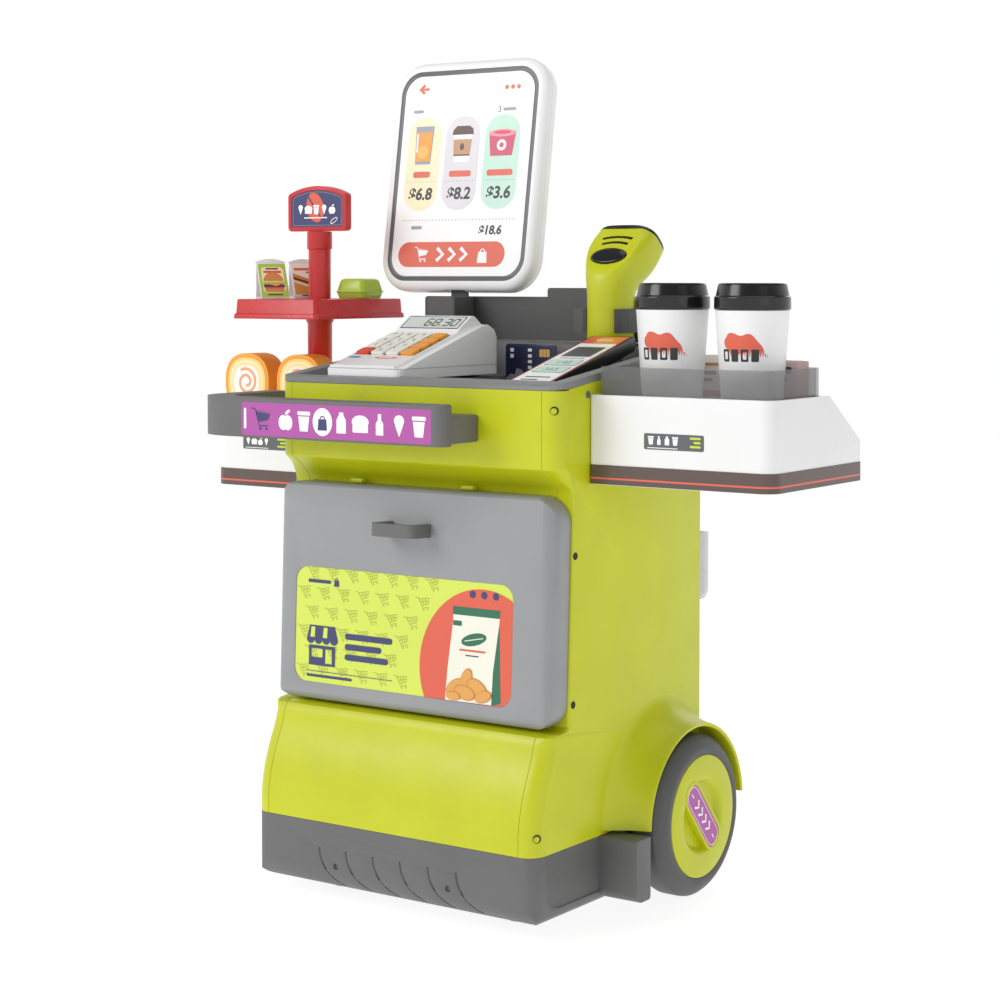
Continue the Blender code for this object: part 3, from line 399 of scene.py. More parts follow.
INK_WHITE = ink("print_white", (248, 248, 248))
INK_NAVY = ink("print_navy", (62, 66, 110))
INK_PURPLE = ink("print_purple", (178, 84, 164))
INK_RED = ink("print_red_orange", (222, 98, 74))
INK_YELLOW = ink("print_lime_yellow", (214, 228, 92))
INK_CART = ink("print_cart_lines", (176, 190, 72))
INK_GREEN = ink("print_green", (46, 110, 82))
INK_CREAM = ink("print_cream", (240, 238, 222))
INK_CHIP = ink("print_chip", (226, 164, 84))
INK_CHIP_DARK = ink("print_chip_dark", (196, 122, 60))
INK_GREY = ink("print_dark_grey", (96, 98, 102))
INK_BLACK = ink("print_black", (44, 44, 46))
INK_LIME = ink("print_lime", (206, 220, 60))
INK_BROWN = ink("band_brown", (96, 80, 76), 0.25)
INK_STRIPE = ink("band_stripe", (226, 104, 84))
INK_PALE_YELLOW = ink("screen_yellow", (250, 234, 196))
INK_PALE_GREY = ink("screen_grey", (222, 219, 224))
INK_MINT = ink("screen_mint", (196, 230, 212))
INK_ORANGE = ink("print_orange", (240, 158, 60))
INK_PINK = ink("print_raspberry", (206, 78, 108))
INK_SLEEVE = ink("print_sleeve", (194, 148, 108))
INK_COFFEE = ink("print_coffee", (92, 66, 60))
INK_TEAL = ink("print_teal", (70, 160, 176))
INK_LCD = ink("lcd_glass", (214, 222, 214), 0.15)
INK_GOLD = ink("card_chip_gold", (224, 176, 92), 0.25)
INK_CARD = ink("card_navy", (38, 42, 76), 0.25)
INK_MAP = ink("card_map_grey", (150, 152, 166), 0.3)
INK_LEAF = ink("print_leaf", (174, 205, 70))
INK_BUN = ink("print_bun", (214, 140, 78))


# ------------------------------------------------------------------ printed labels

LAYER = 0.00010
FINE_STEP = 0.000003


class Print:
    """Flat printed shapes on a surface: drawn in (right, up) from an origin, a layer at a time."""

    def __init__(self, name, origin, right, up, body, slot=None):
        across = Vector(right).normalized()
        upward = Vector(up).normalized()
        outward = across.cross(upward)
        turn = Matrix((across, upward, outward)).transposed().to_4x4()
        self.matrix = Matrix.Translation(origin) @ turn
        self.name = name
        self.body = body
        self.slot = slot
        self.inks = []
        self.count = 0
        self.shape = bmesh.new()

    def take(self, mesh, material):
        if material not in self.inks:
            self.inks.append(material)
        first = len(self.shape.faces)
        self.shape.from_mesh(mesh)
        self.shape.faces.ensure_lookup_table()
        for face in self.shape.faces[first:]:
            face.material_index = self.inks.index(material)
            face.smooth = False
        bpy.data.meshes.remove(mesh)

    def add(self, material, outline, layer=1, holes=()):
        self.count = (self.count + 1) % 30
        top = LAYER * layer + self.count * FINE_STEP
        self.take(drawn(outline, top - LAYER * 0.9, top, holes), material)

    def digits(self, material, text, centre, height, layer=1, bold=0.0, shear=0.0):
        """Plain figures from the built-in font."""
        curve = bpy.data.curves.new("digits", "FONT")
        curve.body = text
        curve.size = height * 1.38
        curve.align_x = "CENTER"
        curve.align_y = "CENTER"
        curve.extrude = LAYER * 0.45
        curve.offset = bold
        curve.shear = shear
        curve.resolution_u = 3
        mesh = from_object(helper(curve))
        mesh.transform(Matrix.Translation((centre[0], centre[1], LAYER * (layer - 0.5))))
        self.take(mesh, material)

    def finish(self, wrap=None, slices=None):
        if slices:
            for cut_at in slices:
                geometry = self.shape.verts[:] + self.shape.edges[:] + self.shape.faces[:]
                bmesh.ops.bisect_plane(self.shape, geom=geometry, plane_co=(cut_at, 0, 0),
                                       plane_no=(1, 0, 0))
        mesh = bpy.data.meshes.new(self.name)
        self.shape.to_mesh(mesh)
        self.shape.free()
        for material in self.inks:
            mesh.materials.append(material)
        if wrap:
            for vertex in mesh.vertices:
                vertex.co = wrap(vertex.co)
        mesh.transform(self.matrix)
        return piece(self.name, mesh, None, self.body)


def shifted(points, dx, dy, scale=1.0, turn=0.0):
    lean = math.radians(turn)
    result = []
    for x, y in points:
        result.append((dx + scale * (x * math.cos(lean) - y * math.sin(lean)),
                       dy + scale * (x * math.sin(lean) + y * math.cos(lean))))
    return result


def cart_icon(label, material, centre, size, layer, turn=0.0, grid=True):
    """A shopping cart drawn in strokes, size is its height."""
    line = 0.055
    body = [(-0.30, 0.30), (-0.18, -0.12), (0.30, -0.05), (0.42, 0.24)]
    strokes = [([(-0.52, 0.42), (-0.36, 0.38), (-0.30, 0.30)], False), (body, True),
               ([(-0.18, -0.12), (-0.14, -0.26), (0.28, -0.24)], False)]
    if grid:
        strokes += [([(-0.08, 0.28), (-0.02, -0.10)], False), ([(0.14, 0.26), (0.14, -0.07)], False),
                    ([(-0.25, 0.11), (0.36, 0.10)], False)]
    for points, closed in strokes:
        outline = shifted(stroke(points + points[:1] if closed else points, line),
                          centre[0], centre[1], size, turn)
        label.add(material, outline, layer)
    for x in (-0.08, 0.22):
        label.add(material, shifted(oval((x, -0.36), 0.06, 0.06, 12), centre[0], centre[1], size, turn),
                  layer)


def bag_icon(label, material, centre, size, layer, handle=True):
    body = [(-0.32, -0.42), (0.32, -0.42), (0.27, 0.18), (-0.27, 0.18)]
    label.add(material, shifted(body, *centre, size), layer)
    if handle:
        loop = arc((0, 0.18), 0.15, 0, 180, 10)
        label.add(material, shifted(stroke(loop, 0.06), *centre, size), layer)


def bottle_icon(label, material, centre, size, layer):
    points = [(-0.20, -0.45), (0.20, -0.45), (0.20, 0.05), (0.09, 0.20), (0.09, 0.45), (-0.09, 0.45),
              (-0.09, 0.20), (-0.20, 0.05)]
    label.add(material, shifted(points, *centre, size), layer)


def apple_icon(label, material, centre, size, layer):
    label.add(material, shifted(oval((-0.13, -0.10), 0.26, 0.33), *centre, size), layer)
    label.add(material, shifted(oval((0.13, -0.10), 0.26, 0.33), *centre, size), layer)
    label.add(material, shifted(oval((0.12, 0.36), 0.17, 0.07, 20, 35), *centre, size), layer)


def cup_icon(label, material, centre, size, layer):
    label.add(material, shifted([(-0.22, -0.45), (0.22, -0.45), (0.31, 0.20), (-0.31, 0.20)], *centre,
                                size), layer)
    label.add(material, shifted(rounded((-0.36, 0.25), (0.36, 0.42), 0.05, 3), *centre, size), layer)


def loaf_icon(label, material, centre, size, layer):
    points = rounded((-0.42, -0.38), (0.42, 0.10), (0.06, 0.06, 0.2, 0.2), 5)
    label.add(material, shifted(points, *centre, size), layer)
    label.add(material, shifted(oval((0, 0.08), 0.46, 0.28), *centre, size), layer)


def cone_icon(label, material, centre, size, layer):
    label.add(material, shifted([(-0.22, 0.02), (0, -0.48), (0.22, 0.02)], *centre, size), layer)
    label.add(material, shifted(oval((0, 0.20), 0.27, 0.24), *centre, size), layer)


def carton_icon(label, material, centre, size, layer):
    points = [(-0.26, -0.45), (0.26, -0.45), (0.26, 0.12), (0.12, 0.34), (0.12, 0.45), (-0.12, 0.45),
              (-0.12, 0.34), (-0.26, 0.12)]
    label.add(material, shifted(points, *centre, size), layer)


# ------------------------------------------------------------------ cabinet

def eased(points, steps):
    """A smooth curve through points, by Catmull-Rom."""
    result = []
    for index in range(len(points) - 1):
        p0 = Vector(points[max(index - 1, 0)])
        p1 = Vector(points[index])
        p2 = Vector(points[index + 1])
        p3 = Vector(points[min(index + 2, len(points) - 1)])
        for step in range(steps):
            t = step / steps
            value = 0.5 * (2 * p1 + (p2 - p0) * t + (2 * p0 - 5 * p1 + 4 * p2 - p3) * t * t
                           + (3 * p1 - p0 - 3 * p2 + p3) * t ** 3)
            result.append(tuple(value))
    result.append(tuple(points[-1]))
    return result


SKIRT = ((0.0663, -0.0520), (0.0830, -0.0520), (0.1000, -0.0490), (0.1180, -0.0430), (0.1360, -0.0350),
         (0.1480, -0.0310))
LEDGE = ((0.1520, -0.0298), (0.1548, -0.0275), (0.1562, -0.0235), (0.1570, -0.0150), (0.1575, -0.0090))
FRAME = ((0.1600, -0.0042), (0.3320, 0.0023))
NECK = ((0.3400, 0.0023), (0.3440, 0.0012), (0.3480, -0.0025), (0.3545, -0.0100), (0.3590, -0.0165),
        (0.3605, -0.0188), (0.3625, HEAD_FRONT))
HEAD = ((0.3680, HEAD_FRONT), (SHELL_TOP, HEAD_FRONT))


def eased_step(value, low, high):
    """0 below low, 1 above high, smooth between."""
    share = min(1.0, max(0.0, (value - low) / (high - low)))
    return share * share * (3 - 2 * share)


def corner_radius(height):
    """Plan radius of the front corners: round at the skirt and the head, tight beside the door."""
    beside_door = eased_step(height, 0.1480, 0.1620) * (1 - eased_step(height, 0.3420, 0.3600))
    return CORNER + (DOOR_CORNER - CORNER) * beside_door


def front_moulding():
    """Front of the cabinet: skirt, ledge, leaning frame behind the door, neck and head."""
    profile = list(SKIRT[:1]) + eased(SKIRT[1:], 3) + list(LEDGE + FRAME) + eased(NECK, 2) + list(HEAD)
    groove = 0.00035
    sections = []
    for height, front in profile:
        radius = corner_radius(height)
        right = [(BODY_HALF, front + radius + 0.001)]
        right += list(reversed(arc((BODY_HALF - radius, front + radius), radius, -90, 0, 10)))
        seam = BODY_HALF - CORNER - 0.0012
        right += [(seam + groove, front), (seam, front + 2 * groove), (seam - groove, front)]
        left = [(-x, y) for x, y in reversed(right)]
        sections.append([(x, y, height) for x, y in right + left])
    mesh = lofted(sections, closed_ends=False, closed_loop=False)
    mesh = changed(mesh, ("SOLIDIFY", dict(thickness=WALL, offset=-1.0)))
    window = block((-0.122, -0.012, 0.172), (0.122, 0.012, 0.322))
    mesh = cut(mesh, window)
    piece("front_moulding", smooth(mesh, 28), LIME, "cabinet", ["front_shell"])


RIM_BAND = 0.0057
RIM_FRONT = 0.4283
RIM_START = -0.0108
RIM_RISE = 0.128


def rim_height(y):
    return RIM_FRONT + (y - RIM_START) * RIM_RISE


def side_mouldings():
    """Side walls with a crisp edge, and the flared arches over the wheels."""
    wheel_low, wheel_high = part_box("tyre_right")
    axis_y = (wheel_low.y + wheel_high.y) / 2 - SHIFT
    axis_z = (wheel_low.z + wheel_high.z) / 2
    gap = 0.0001
    profile = list(SKIRT[:1]) + eased(SKIRT[1:], 3) + list(LEDGE + FRAME) + eased(NECK, 2) + list(HEAD[:1])
    points = [(front + corner_radius(height) + 0.001 + gap, height) for height, front in profile]
    points += [(y, rim_height(y) - RIM_BAND - GAP) for y in (HEAD_FRONT + CORNER + 0.001 + gap, BODY_BACK)]
    rear_wall = 0.088
    ear = rear_wall - 0.003
    meets_back = math.degrees(math.acos((BODY_BACK - axis_y) / ear))
    points += arc((axis_y, axis_z), ear, meets_back, 2, 10)
    tab = BASE_TOP + 2 * GAP
    points += [(BODY_BACK, axis_z + 0.0035), (BODY_BACK, tab), (0.185, tab), (0.185, 0.050), (0.099, 0.050),
               (0.099, BASE_TOP + GAP)]
    wall = soft(moved(drawn(points, BODY_HALF - WALL, BODY_HALF), FACING_SIDE), 0.0005, 2)
    sections = []
    steps = 72
    for step in range(steps + 1):
        angle = math.radians(178.5 - step * 173.3 / steps)
        share = min(1.0, max(0.0, (step / steps - 0.42) / 0.33))
        share = share * share * (3 - 2 * share)
        wide = 0.102 + (rear_wall - 0.102) * share
        rim = 0.0755
        span = wide - rim
        outer = eased([(wide, 0.1402), (wide - 0.16 * span, 0.1412), (wide - 0.36 * span, 0.1445),
                       (wide - 0.62 * span, 0.1520), (wide - 0.84 * span, 0.1615), (rim + 0.0006, 0.1714),
                       (rim - 0.0004, 0.1720)], 4)
        inner = eased([(rim - 0.0022, 0.1718), (rim - 0.0026, 0.1690),
                       (wide - 0.86 * span - 0.0034, 0.1585),
                       (wide - 0.62 * span - 0.0036, 0.1480), (wide - 0.38 * span - 0.0040, 0.1402)], 3)
        section = outer + inner
        sections.append([(x, axis_y + r * math.cos(angle), axis_z + r * math.sin(angle))
                         for r, x in section])
    arch = smooth(lofted(sections), 50)
    for name, flip in (("right", False), ("left", True)):
        shape = merged(wall, arch)
        shape.shade_smooth()
        shape = smooth(shape, 40)
        if flip:
            shape = mirrored(shape)
        piece("side_moulding_" + name, shape, LIME, "cabinet", ["side_panel_" + name])
    for name, flip in (("right", 1), ("left", -1)):
        for index, (depth, height, kind) in enumerate(((0.0220, 0.4180, "screw"), (0.0045, 0.2930, "hole"),
                                                       (0.0015, 0.1770, "hole"))):
            at = (place(flip * (BODY_HALF + 0.0001), depth, height)
                  @ (FACING_SIDE if flip > 0 else FACING_LEFT))
            fastener("fastener_%s_%d" % (name, index + 1), at, kind)
    for index, (front, bend, height) in enumerate(((HEAD_FRONT, 52, 0.4070), (BASE_FRONT, 32, 0.0810))):
        away = Matrix.Rotation(math.radians(-bend), 4, "Z")
        corner = Matrix.Translation((BODY_HALF - CORNER, front + CORNER, height))
        at = corner @ away @ Matrix.Translation((CORNER + 0.0001, 0, 0)) @ FACING_SIDE
        fastener("corner_plug_%d" % (index + 1), at, "plug")


def fastener(name, at, kind):
    """A recessed screw, a snap plug with a painted shadow crescent beside it, or a screw hole drawn as a
    flat dark disc of painted shade on the wall.
    """
    if kind == "hole":
        # The hole is not cut: this flat dark disc with a lip is painted shade standing in for its depth.
        rim = turned(((0.0, 0.0001), (0.0021, 0.0001), (0.0026, 0.0004), (0.0030, 0.0001),
                      (0.0030, -0.0002),
                      (0.0, -0.0002)), 24)
        material = RUBBER_AND_PAINTED_SHADE
    elif kind == "screw":
        rim = turned(((0.0, 0.0003), (0.0012, 0.0003), (0.0016, 0.0007), (0.0026, 0.0006), (0.0031, 0.0001),
                      (0.0031, -0.0002), (0.0, -0.0002)), 24)
        cross = [block((-0.0018, -0.0003, 0.0001), (0.0018, 0.0003, 0.002)),
                 block((-0.0003, -0.0018, 0.0001), (0.0003, 0.0018, 0.002))]
        rim = cut(rim, *cross)
        material = DARK
    else:
        rim = turned(((0.0, 0.0009), (0.0017, 0.0008), (0.0021, 0.0004), (0.0021, 0.0001), (0.0029, 0.0001),
                      (0.0032, -0.0001), (0.0, -0.0002)), 24)
        material = LIME
    piece(name, moved(rim, at), material, "cabinet")
    if kind == "plug":
        # The dark crescent beside the plug is a painted shadow.
        crescent = drawn(oval((0, 0), 0.0034, 0.0034, 24), -0.0002, 0.00025,
                         [oval((-0.0006, -0.0004), 0.0026, 0.0026, 24)])
        piece(name + "_shadow", moved(crescent, at), RUBBER_AND_PAINTED_SHADE, "cabinet")


def base_moulding():
    """Dark base: round lower edges, a recessed side panel, blocks ahead of the wheels, six grooves."""
    plan = rounded((-BODY_HALF, BASE_FRONT), (BODY_HALF, BODY_BACK), (CORNER, CORNER, 0.006, 0.006), 10)
    mesh = drawn(plan, BASE_BOTTOM, BASE_TOP)
    side = rounded((BASE_FRONT - 0.001, BASE_BOTTOM), (BODY_BACK + 0.001, 0.090), (0.024, 0.010, 0, 0), 14)
    front = rounded((-BODY_HALF - 0.001, BASE_BOTTOM), (BODY_HALF + 0.001, 0.090), (0.016, 0.016, 0, 0), 12)
    mesh = common(mesh, moved(drawn(side, -0.150, 0.150), FACING_SIDE),
                  moved(drawn(front, -BODY_BACK - 0.010, 0.070), FACING_FRONT))
    recess = rounded((-0.036, 0.022), (0.090, 0.080), (0.018, 0.002, 0, 0), 8)
    tools = []
    for sign in (1, -1):
        low, high = sorted((sign * (BODY_HALF - 0.0010), sign * 0.160))
        tools.append(moved(drawn(recess, low, high), FACING_SIDE))
        low, high = sorted((sign * 0.134, sign * 0.150))
        tools.append(block((low, 0.0987, 0.0497), (high, 0.1853, 0.080)))
    for inset, floor in ((0.004, 0.028), (0.022, 0.013)):
        hollow = rounded((-BODY_HALF + inset, BASE_FRONT + inset), (BODY_HALF - inset, BODY_BACK - inset),
                         0.010)
        tools.append(drawn(hollow, floor, 0.100))
    mesh = cut(mesh, *tools)
    grooves = []
    for index in range(6):
        x = -0.0710 + index * 0.0276
        path = [(x - 0.0006, BASE_FRONT - 0.0030, 0.0462), (x, BASE_FRONT, 0.0448)]
        for step in range(9):
            t = step / 8
            height = 0.0440 - 0.0290 * t
            run = x + 0.0015 * t + 0.0195 * t ** 2.0
            drop = max(0.0, 0.024 + BASE_BOTTOM - height)
            bulge = 0.024 - math.sqrt(max(0.0, 0.024 ** 2 - drop ** 2))
            path.append((run, BASE_FRONT + bulge, height))
        grooves.append(tube(path, 0.0011, resolution=2))
    for x in (-0.0540, 0.0590):
        grooves.append(moved(turned(((0.0, 0.002), (0.0028, 0.002), (0.0024, -0.0020), (0.0, -0.0020)), 24),
                             place(x, BASE_FRONT, 0.0315) @ FACING_FRONT))
    mesh = cut(mesh, *grooves)
    piece("base_moulding", soft(mesh, 0.0004, 2, 50), DARK, "cabinet", ["base_bumper"])
    rounded_block = rounded((0.041, 0.016), (0.0622, BASE_TOP - 0.0001), (0.008, 0.003, 0.001, 0.001), 6)
    for sign in (1, -1):
        low, high = sorted((sign * 0.139, sign * 0.175))
        shape = soft(moved(drawn(rounded_block, low, high), FACING_SIDE), 0.0020, 3)
        piece("base_block_" + ("right" if sign > 0 else "left"), shape, DARK, "cabinet")
    for x in (-0.0540, 0.0590):
        screw = turned(((0.0, 0.0002), (0.0010, 0.0002), (0.0014, 0.0008), (0.0021, 0.0004),
                        (0.0022, -0.0003),
                        (0.0, -0.0003)), 20)
        piece("base_screw_" + ("right" if x > 0 else "left"),
              moved(screw, place(x, BASE_FRONT + 0.0017, 0.0315) @ FACING_FRONT), DARK, "cabinet")


def feet():
    for name in ("foot_left", "foot_right"):
        low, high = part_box(name)
        radius = (high.x - low.x) / 2
        profile = ((0.0, high.z), (radius - 0.0012, high.z), (radius - 0.0006, high.z * 0.6),
                   (radius, 0.0030),
                   (radius - 0.0006, 0.0010), (radius - 0.0020, 0.0), (radius - 0.0045, 0.0),
                   (radius - 0.0055, 0.0008), (0.0, 0.0008))
        x = (low.x + high.x) / 2
        depth = (low.y + high.y) / 2 - SHIFT
        piece(name + "_rubber", moved(turned(profile), place(x, depth, 0)), RUBBER_AND_PAINTED_SHADE, "cabinet", [name])


# ------------------------------------------------------------------ door

LEAN = math.radians(2.2)
DOOR_LOW = 0.1585
DOOR_TALL = 0.1815
PIVOT = 0.012
DOOR_AT = place(0, -0.017, DOOR_LOW + PIVOT) @ Matrix.Rotation(-LEAN, 4, "X")


def door():
    """Deep door with a recessed label, round sides and a pull."""
    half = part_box("door_shell")[1].x
    face = -PIVOT
    back = face + 0.024
    low = -PIVOT
    high = low + DOOR_TALL
    mesh = drawn(rounded((-half, face), (half, back), (0.013, 0.013, 0, 0), 14), low, high)
    side = rounded((face, low), (back, high), (PIVOT, PIVOT, 0.0, 0.005), 10)
    front = rounded((-half, low), (half, high), (0.020, 0.020, 0.022, 0.022), 12)
    mesh = common(mesh, moved(drawn(side, -0.150, 0.150), FACING_SIDE),
                  moved(drawn(front, -0.030, 0.030), FACING_FRONT))
    inset = 0.003
    hollow = rounded((-half + inset, face + inset), (half - inset, back + 0.002), (0.010, 0.010, 0, 0), 8)
    label = rounded(LABEL_LOW, LABEL_HIGH, 0.0125, 10)
    mesh = cut(mesh, drawn(hollow, low + 0.014, high - 0.022),
               moved(drawn(label, -face - 0.0007, -face + 0.010), FACING_FRONT))
    mesh = soft(mesh, 0.0007, 2, 40)
    piece("door_moulding", moved(mesh, DOOR_AT), DOOR_GREY, "storage_door", ["door_shell"])
    grip_half = 0.022
    bar = rounded((-grip_half, -0.025), (grip_half, 0.0), (0.007, 0.007, 0, 0), 6)
    hole = rounded((-grip_half + 0.0062, -0.0190), (grip_half - 0.0062, 0.001), (0.003, 0.003, 0, 0), 4)
    pull = cut(drawn(bar, 0.1315, 0.1420), drawn(hole, 0.127, 0.147))
    pull = soft(pull, 0.0016, 3)
    piece("door_pull", moved(pull, DOOR_AT @ place(0, face - GAP, 0)), DARK, "storage_door",
          ["door_handle"])
    for index, x in enumerate((-0.0655, 0.0470)):
        tab = soft(block((x - 0.006, 0.0, 0.340), (x + 0.006, 0.006, 0.3435)), 0.0008, 2)
        piece("latch_tab_%d" % (index + 1), moved(tab, place(0, -0.010, 0.0005)), LIME, "cabinet")


LABEL_LOW = (-0.117, 0.0035)
LABEL_HIGH = (0.103, 0.0995)


def door_label():
    """Lime-yellow label: carts, an awning mark with bars, a red-orange disc and a snack bag."""
    face = Vector((0, -PIVOT + 0.0007, 0))
    right = Vector((1, 0, 0))
    origin = DOOR_AT @ face
    up = DOOR_AT.to_3x3() @ Vector((0, 0, 1))
    label = Print("door_label", origin, right, up, "storage_door", "lime")
    low, high = LABEL_LOW, LABEL_HIGH
    inset = 0.0003
    ground = rounded((low[0] + inset, low[1] + inset), (high[0] - inset, high[1] - inset), 0.0122, 10)
    label.add(INK_YELLOW, ground, 1)
    disc_centre = (0.0740, 0.0300)
    radius = 0.0610
    random.seed(4)
    for row in range(6):
        for column in range(9):
            x = low[0] + 0.010 + column * 0.0205 + (row % 2) * 0.009
            y = low[1] + 0.010 + row * 0.0162
            if math.hypot(x - disc_centre[0], y - disc_centre[1]) < radius + 0.010 or x > high[0] - 0.012:
                continue
            cart_icon(label, INK_CART, (x, y), 0.0142, 2, 14 + random.uniform(-4, 4))
    disc = [p for p in oval(disc_centre, radius, radius * 1.05, 120)]
    disc = clip(disc, low[0], low[1] + inset, high[0] - inset, high[1] - inset, 0.0122)
    label.add(INK_RED, disc, 3)
    for index in range(3):
        label.add(INK_NAVY, oval((0.0640 + index * 0.0112, 0.0895), 0.0030, 0.0030, 24), 5)
    snack_bag(label, 0.0390, low[1] + 0.0004)
    awning(label, (-0.0880, 0.0345), 0.0330)
    for index, (start, stop) in enumerate(((-0.0640, -0.0150), (-0.0640, -0.0260), (-0.0640, -0.0190))):
        y = 0.0420 - index * 0.0085
        label.add(INK_NAVY, rounded((start, y), (stop, y + 0.0050), 0.0024, 4), 4)
    label.add(INK_NAVY, rounded((-0.1040, 0.0128), (-0.0140, 0.0133), 0.0002, 1), 4)
    label.add(INK_NAVY, rounded((-0.1040, 0.0082), (-0.0560, 0.0104), 0.0010, 3), 4)
    bag_icon(label, INK_NAVY, (-0.0740, 0.0880), 0.0085, 4)
    label.add(INK_NAVY, rounded((-0.1040, 0.0862), (-0.0800, 0.0890), 0.0012, 3), 4)
    label.finish()


def snack_bag(label, left, foot):
    """A cream bag of crisps with a dark green side and seal."""
    def spread(points):
        return [(left + x, foot + y) for x, y in points]

    def blob(x, y, half_x, half_y, turn, shrink=1.0):
        return spread(oval((x, y), half_x * shrink, half_y * shrink, 24, turn))

    tall = 0.0750
    wide = 0.0540
    label.add(INK_CREAM, spread([(0.0, 0.0), (0.0020, 0.0260), (0.0065, tall - 0.0110), (0.0060, tall),
                                 (wide - 0.0020, tall), (wide - 0.0030, tall - 0.0110),
                                 (wide - 0.0012, 0.0260),
                                 (wide, 0.0026), (wide - 0.0060, 0.0004)]), 4)
    label.add(INK_GREEN, spread([(0.0062, tall - 0.0065), (0.0060, tall), (wide - 0.0020, tall),
                                 (wide - 0.0026, tall - 0.0065)]), 5)
    label.add(INK_GREEN, spread([(wide - 0.0090, 0.0002), (wide - 0.0080, 0.0260),
                                 (wide - 0.0036, tall - 0.0160),
                                 (wide - 0.0028, tall - 0.0110), (wide - 0.0012, 0.0260), (wide, 0.0026),
                                 (wide - 0.0060, 0.0004)]), 5)
    label.add(INK_GREEN, spread(rounded((0.0065, tall - 0.0152), (0.0150, tall - 0.0112), 0.0006, 2)), 5)
    label.add(INK_GREEN, blob(0.0270, 0.0500, 0.0125, 0.0048, 14), 5)
    label.add(INK_CREAM, spread(stroke([(0.0180, 0.0482), (0.0360, 0.0518)], 0.0007)), 6)
    label.add(INK_RED, spread(rounded((0.0130, 0.0402), (0.0385, 0.0418), 0.0007, 2)), 5)
    label.add(INK_NAVY, spread(rounded((0.0190, 0.0365), (0.0320, 0.0375), 0.0004, 2)), 5)
    crisps = ((0.0100, 0.0110, 0.0105, 0.0062, 30), (0.0200, 0.0175, 0.0100, 0.0056, 70),
              (0.0310, 0.0120, 0.0110, 0.0066, -30), (0.0190, 0.0075, 0.0105, 0.0058, -10),
              (0.0370, 0.0060, 0.0085, 0.0046, 20), (0.0080, 0.0040, 0.0072, 0.0034, 0))
    for index, (x, y, half_x, half_y, turn) in enumerate(crisps):
        label.add(INK_CHIP_DARK, blob(x + 0.0004, y, half_x, half_y, turn), 5 + index)
        label.add(INK_CHIP, blob(x, y, half_x, half_y, turn, 0.90), 5.5 + index)


def clip(points, left, bottom, right, top, radius):
    """Points kept inside a rectangle whose right-hand corners are round."""
    result = []
    for x, y in points:
        x = min(max(x, left), right)
        y = min(max(y, bottom), top)
        for corner_y, sign in ((bottom + radius, -1), (top - radius, 1)):
            dx = x - (right - radius)
            dy = y - corner_y
            if dx > 0 and dy * sign > 0 and dx * dx + dy * dy > radius * radius:
                scale = radius / math.hypot(dx, dy)
                x = right - radius + dx * scale
                y = corner_y + dy * scale
        result.append((x, y))
    return result


def awning(label, centre, size):
    """A shop front with a striped awning."""
    x, y = centre
    half = size / 2
    label.add(INK_NAVY, [(x - half, y + 0.16 * size), (x + half, y + 0.16 * size),
                         (x + half * 0.8, y + half),
                         (x - half * 0.8, y + half)], 4)
    for index in range(4):
        left = x - half + (index + 0.5) * size / 4
        label.add(INK_NAVY, arc((left, y + 0.16 * size), size / 8, 180, 360, 8), 4)
    label.add(INK_NAVY, [(x - 0.42 * size, y - half), (x + 0.42 * size, y - half), (x + 0.42 * size, y),
                         (x - 0.42 * size, y)], 4,
              [rounded((x - 0.34 * size, y - 0.30 * size), (x + 0.02 * size, y - 0.08 * size), 0.0006, 2),
               rounded((x + 0.10 * size, y - 0.44 * size), (x + 0.32 * size, y - 0.08 * size), 0.0006, 2)])
    for index in (0, 2):
        left = x - half * 0.8 + index * size * 0.2
        label.add(INK_YELLOW, [(left + 0.02 * size, y + 0.20 * size), (left + 0.16 * size, y + 0.20 * size),
                               (left + 0.17 * size, y + 0.46 * size),
                               (left + 0.05 * size, y + 0.46 * size)], 5)


# ------------------------------------------------------------------ rail

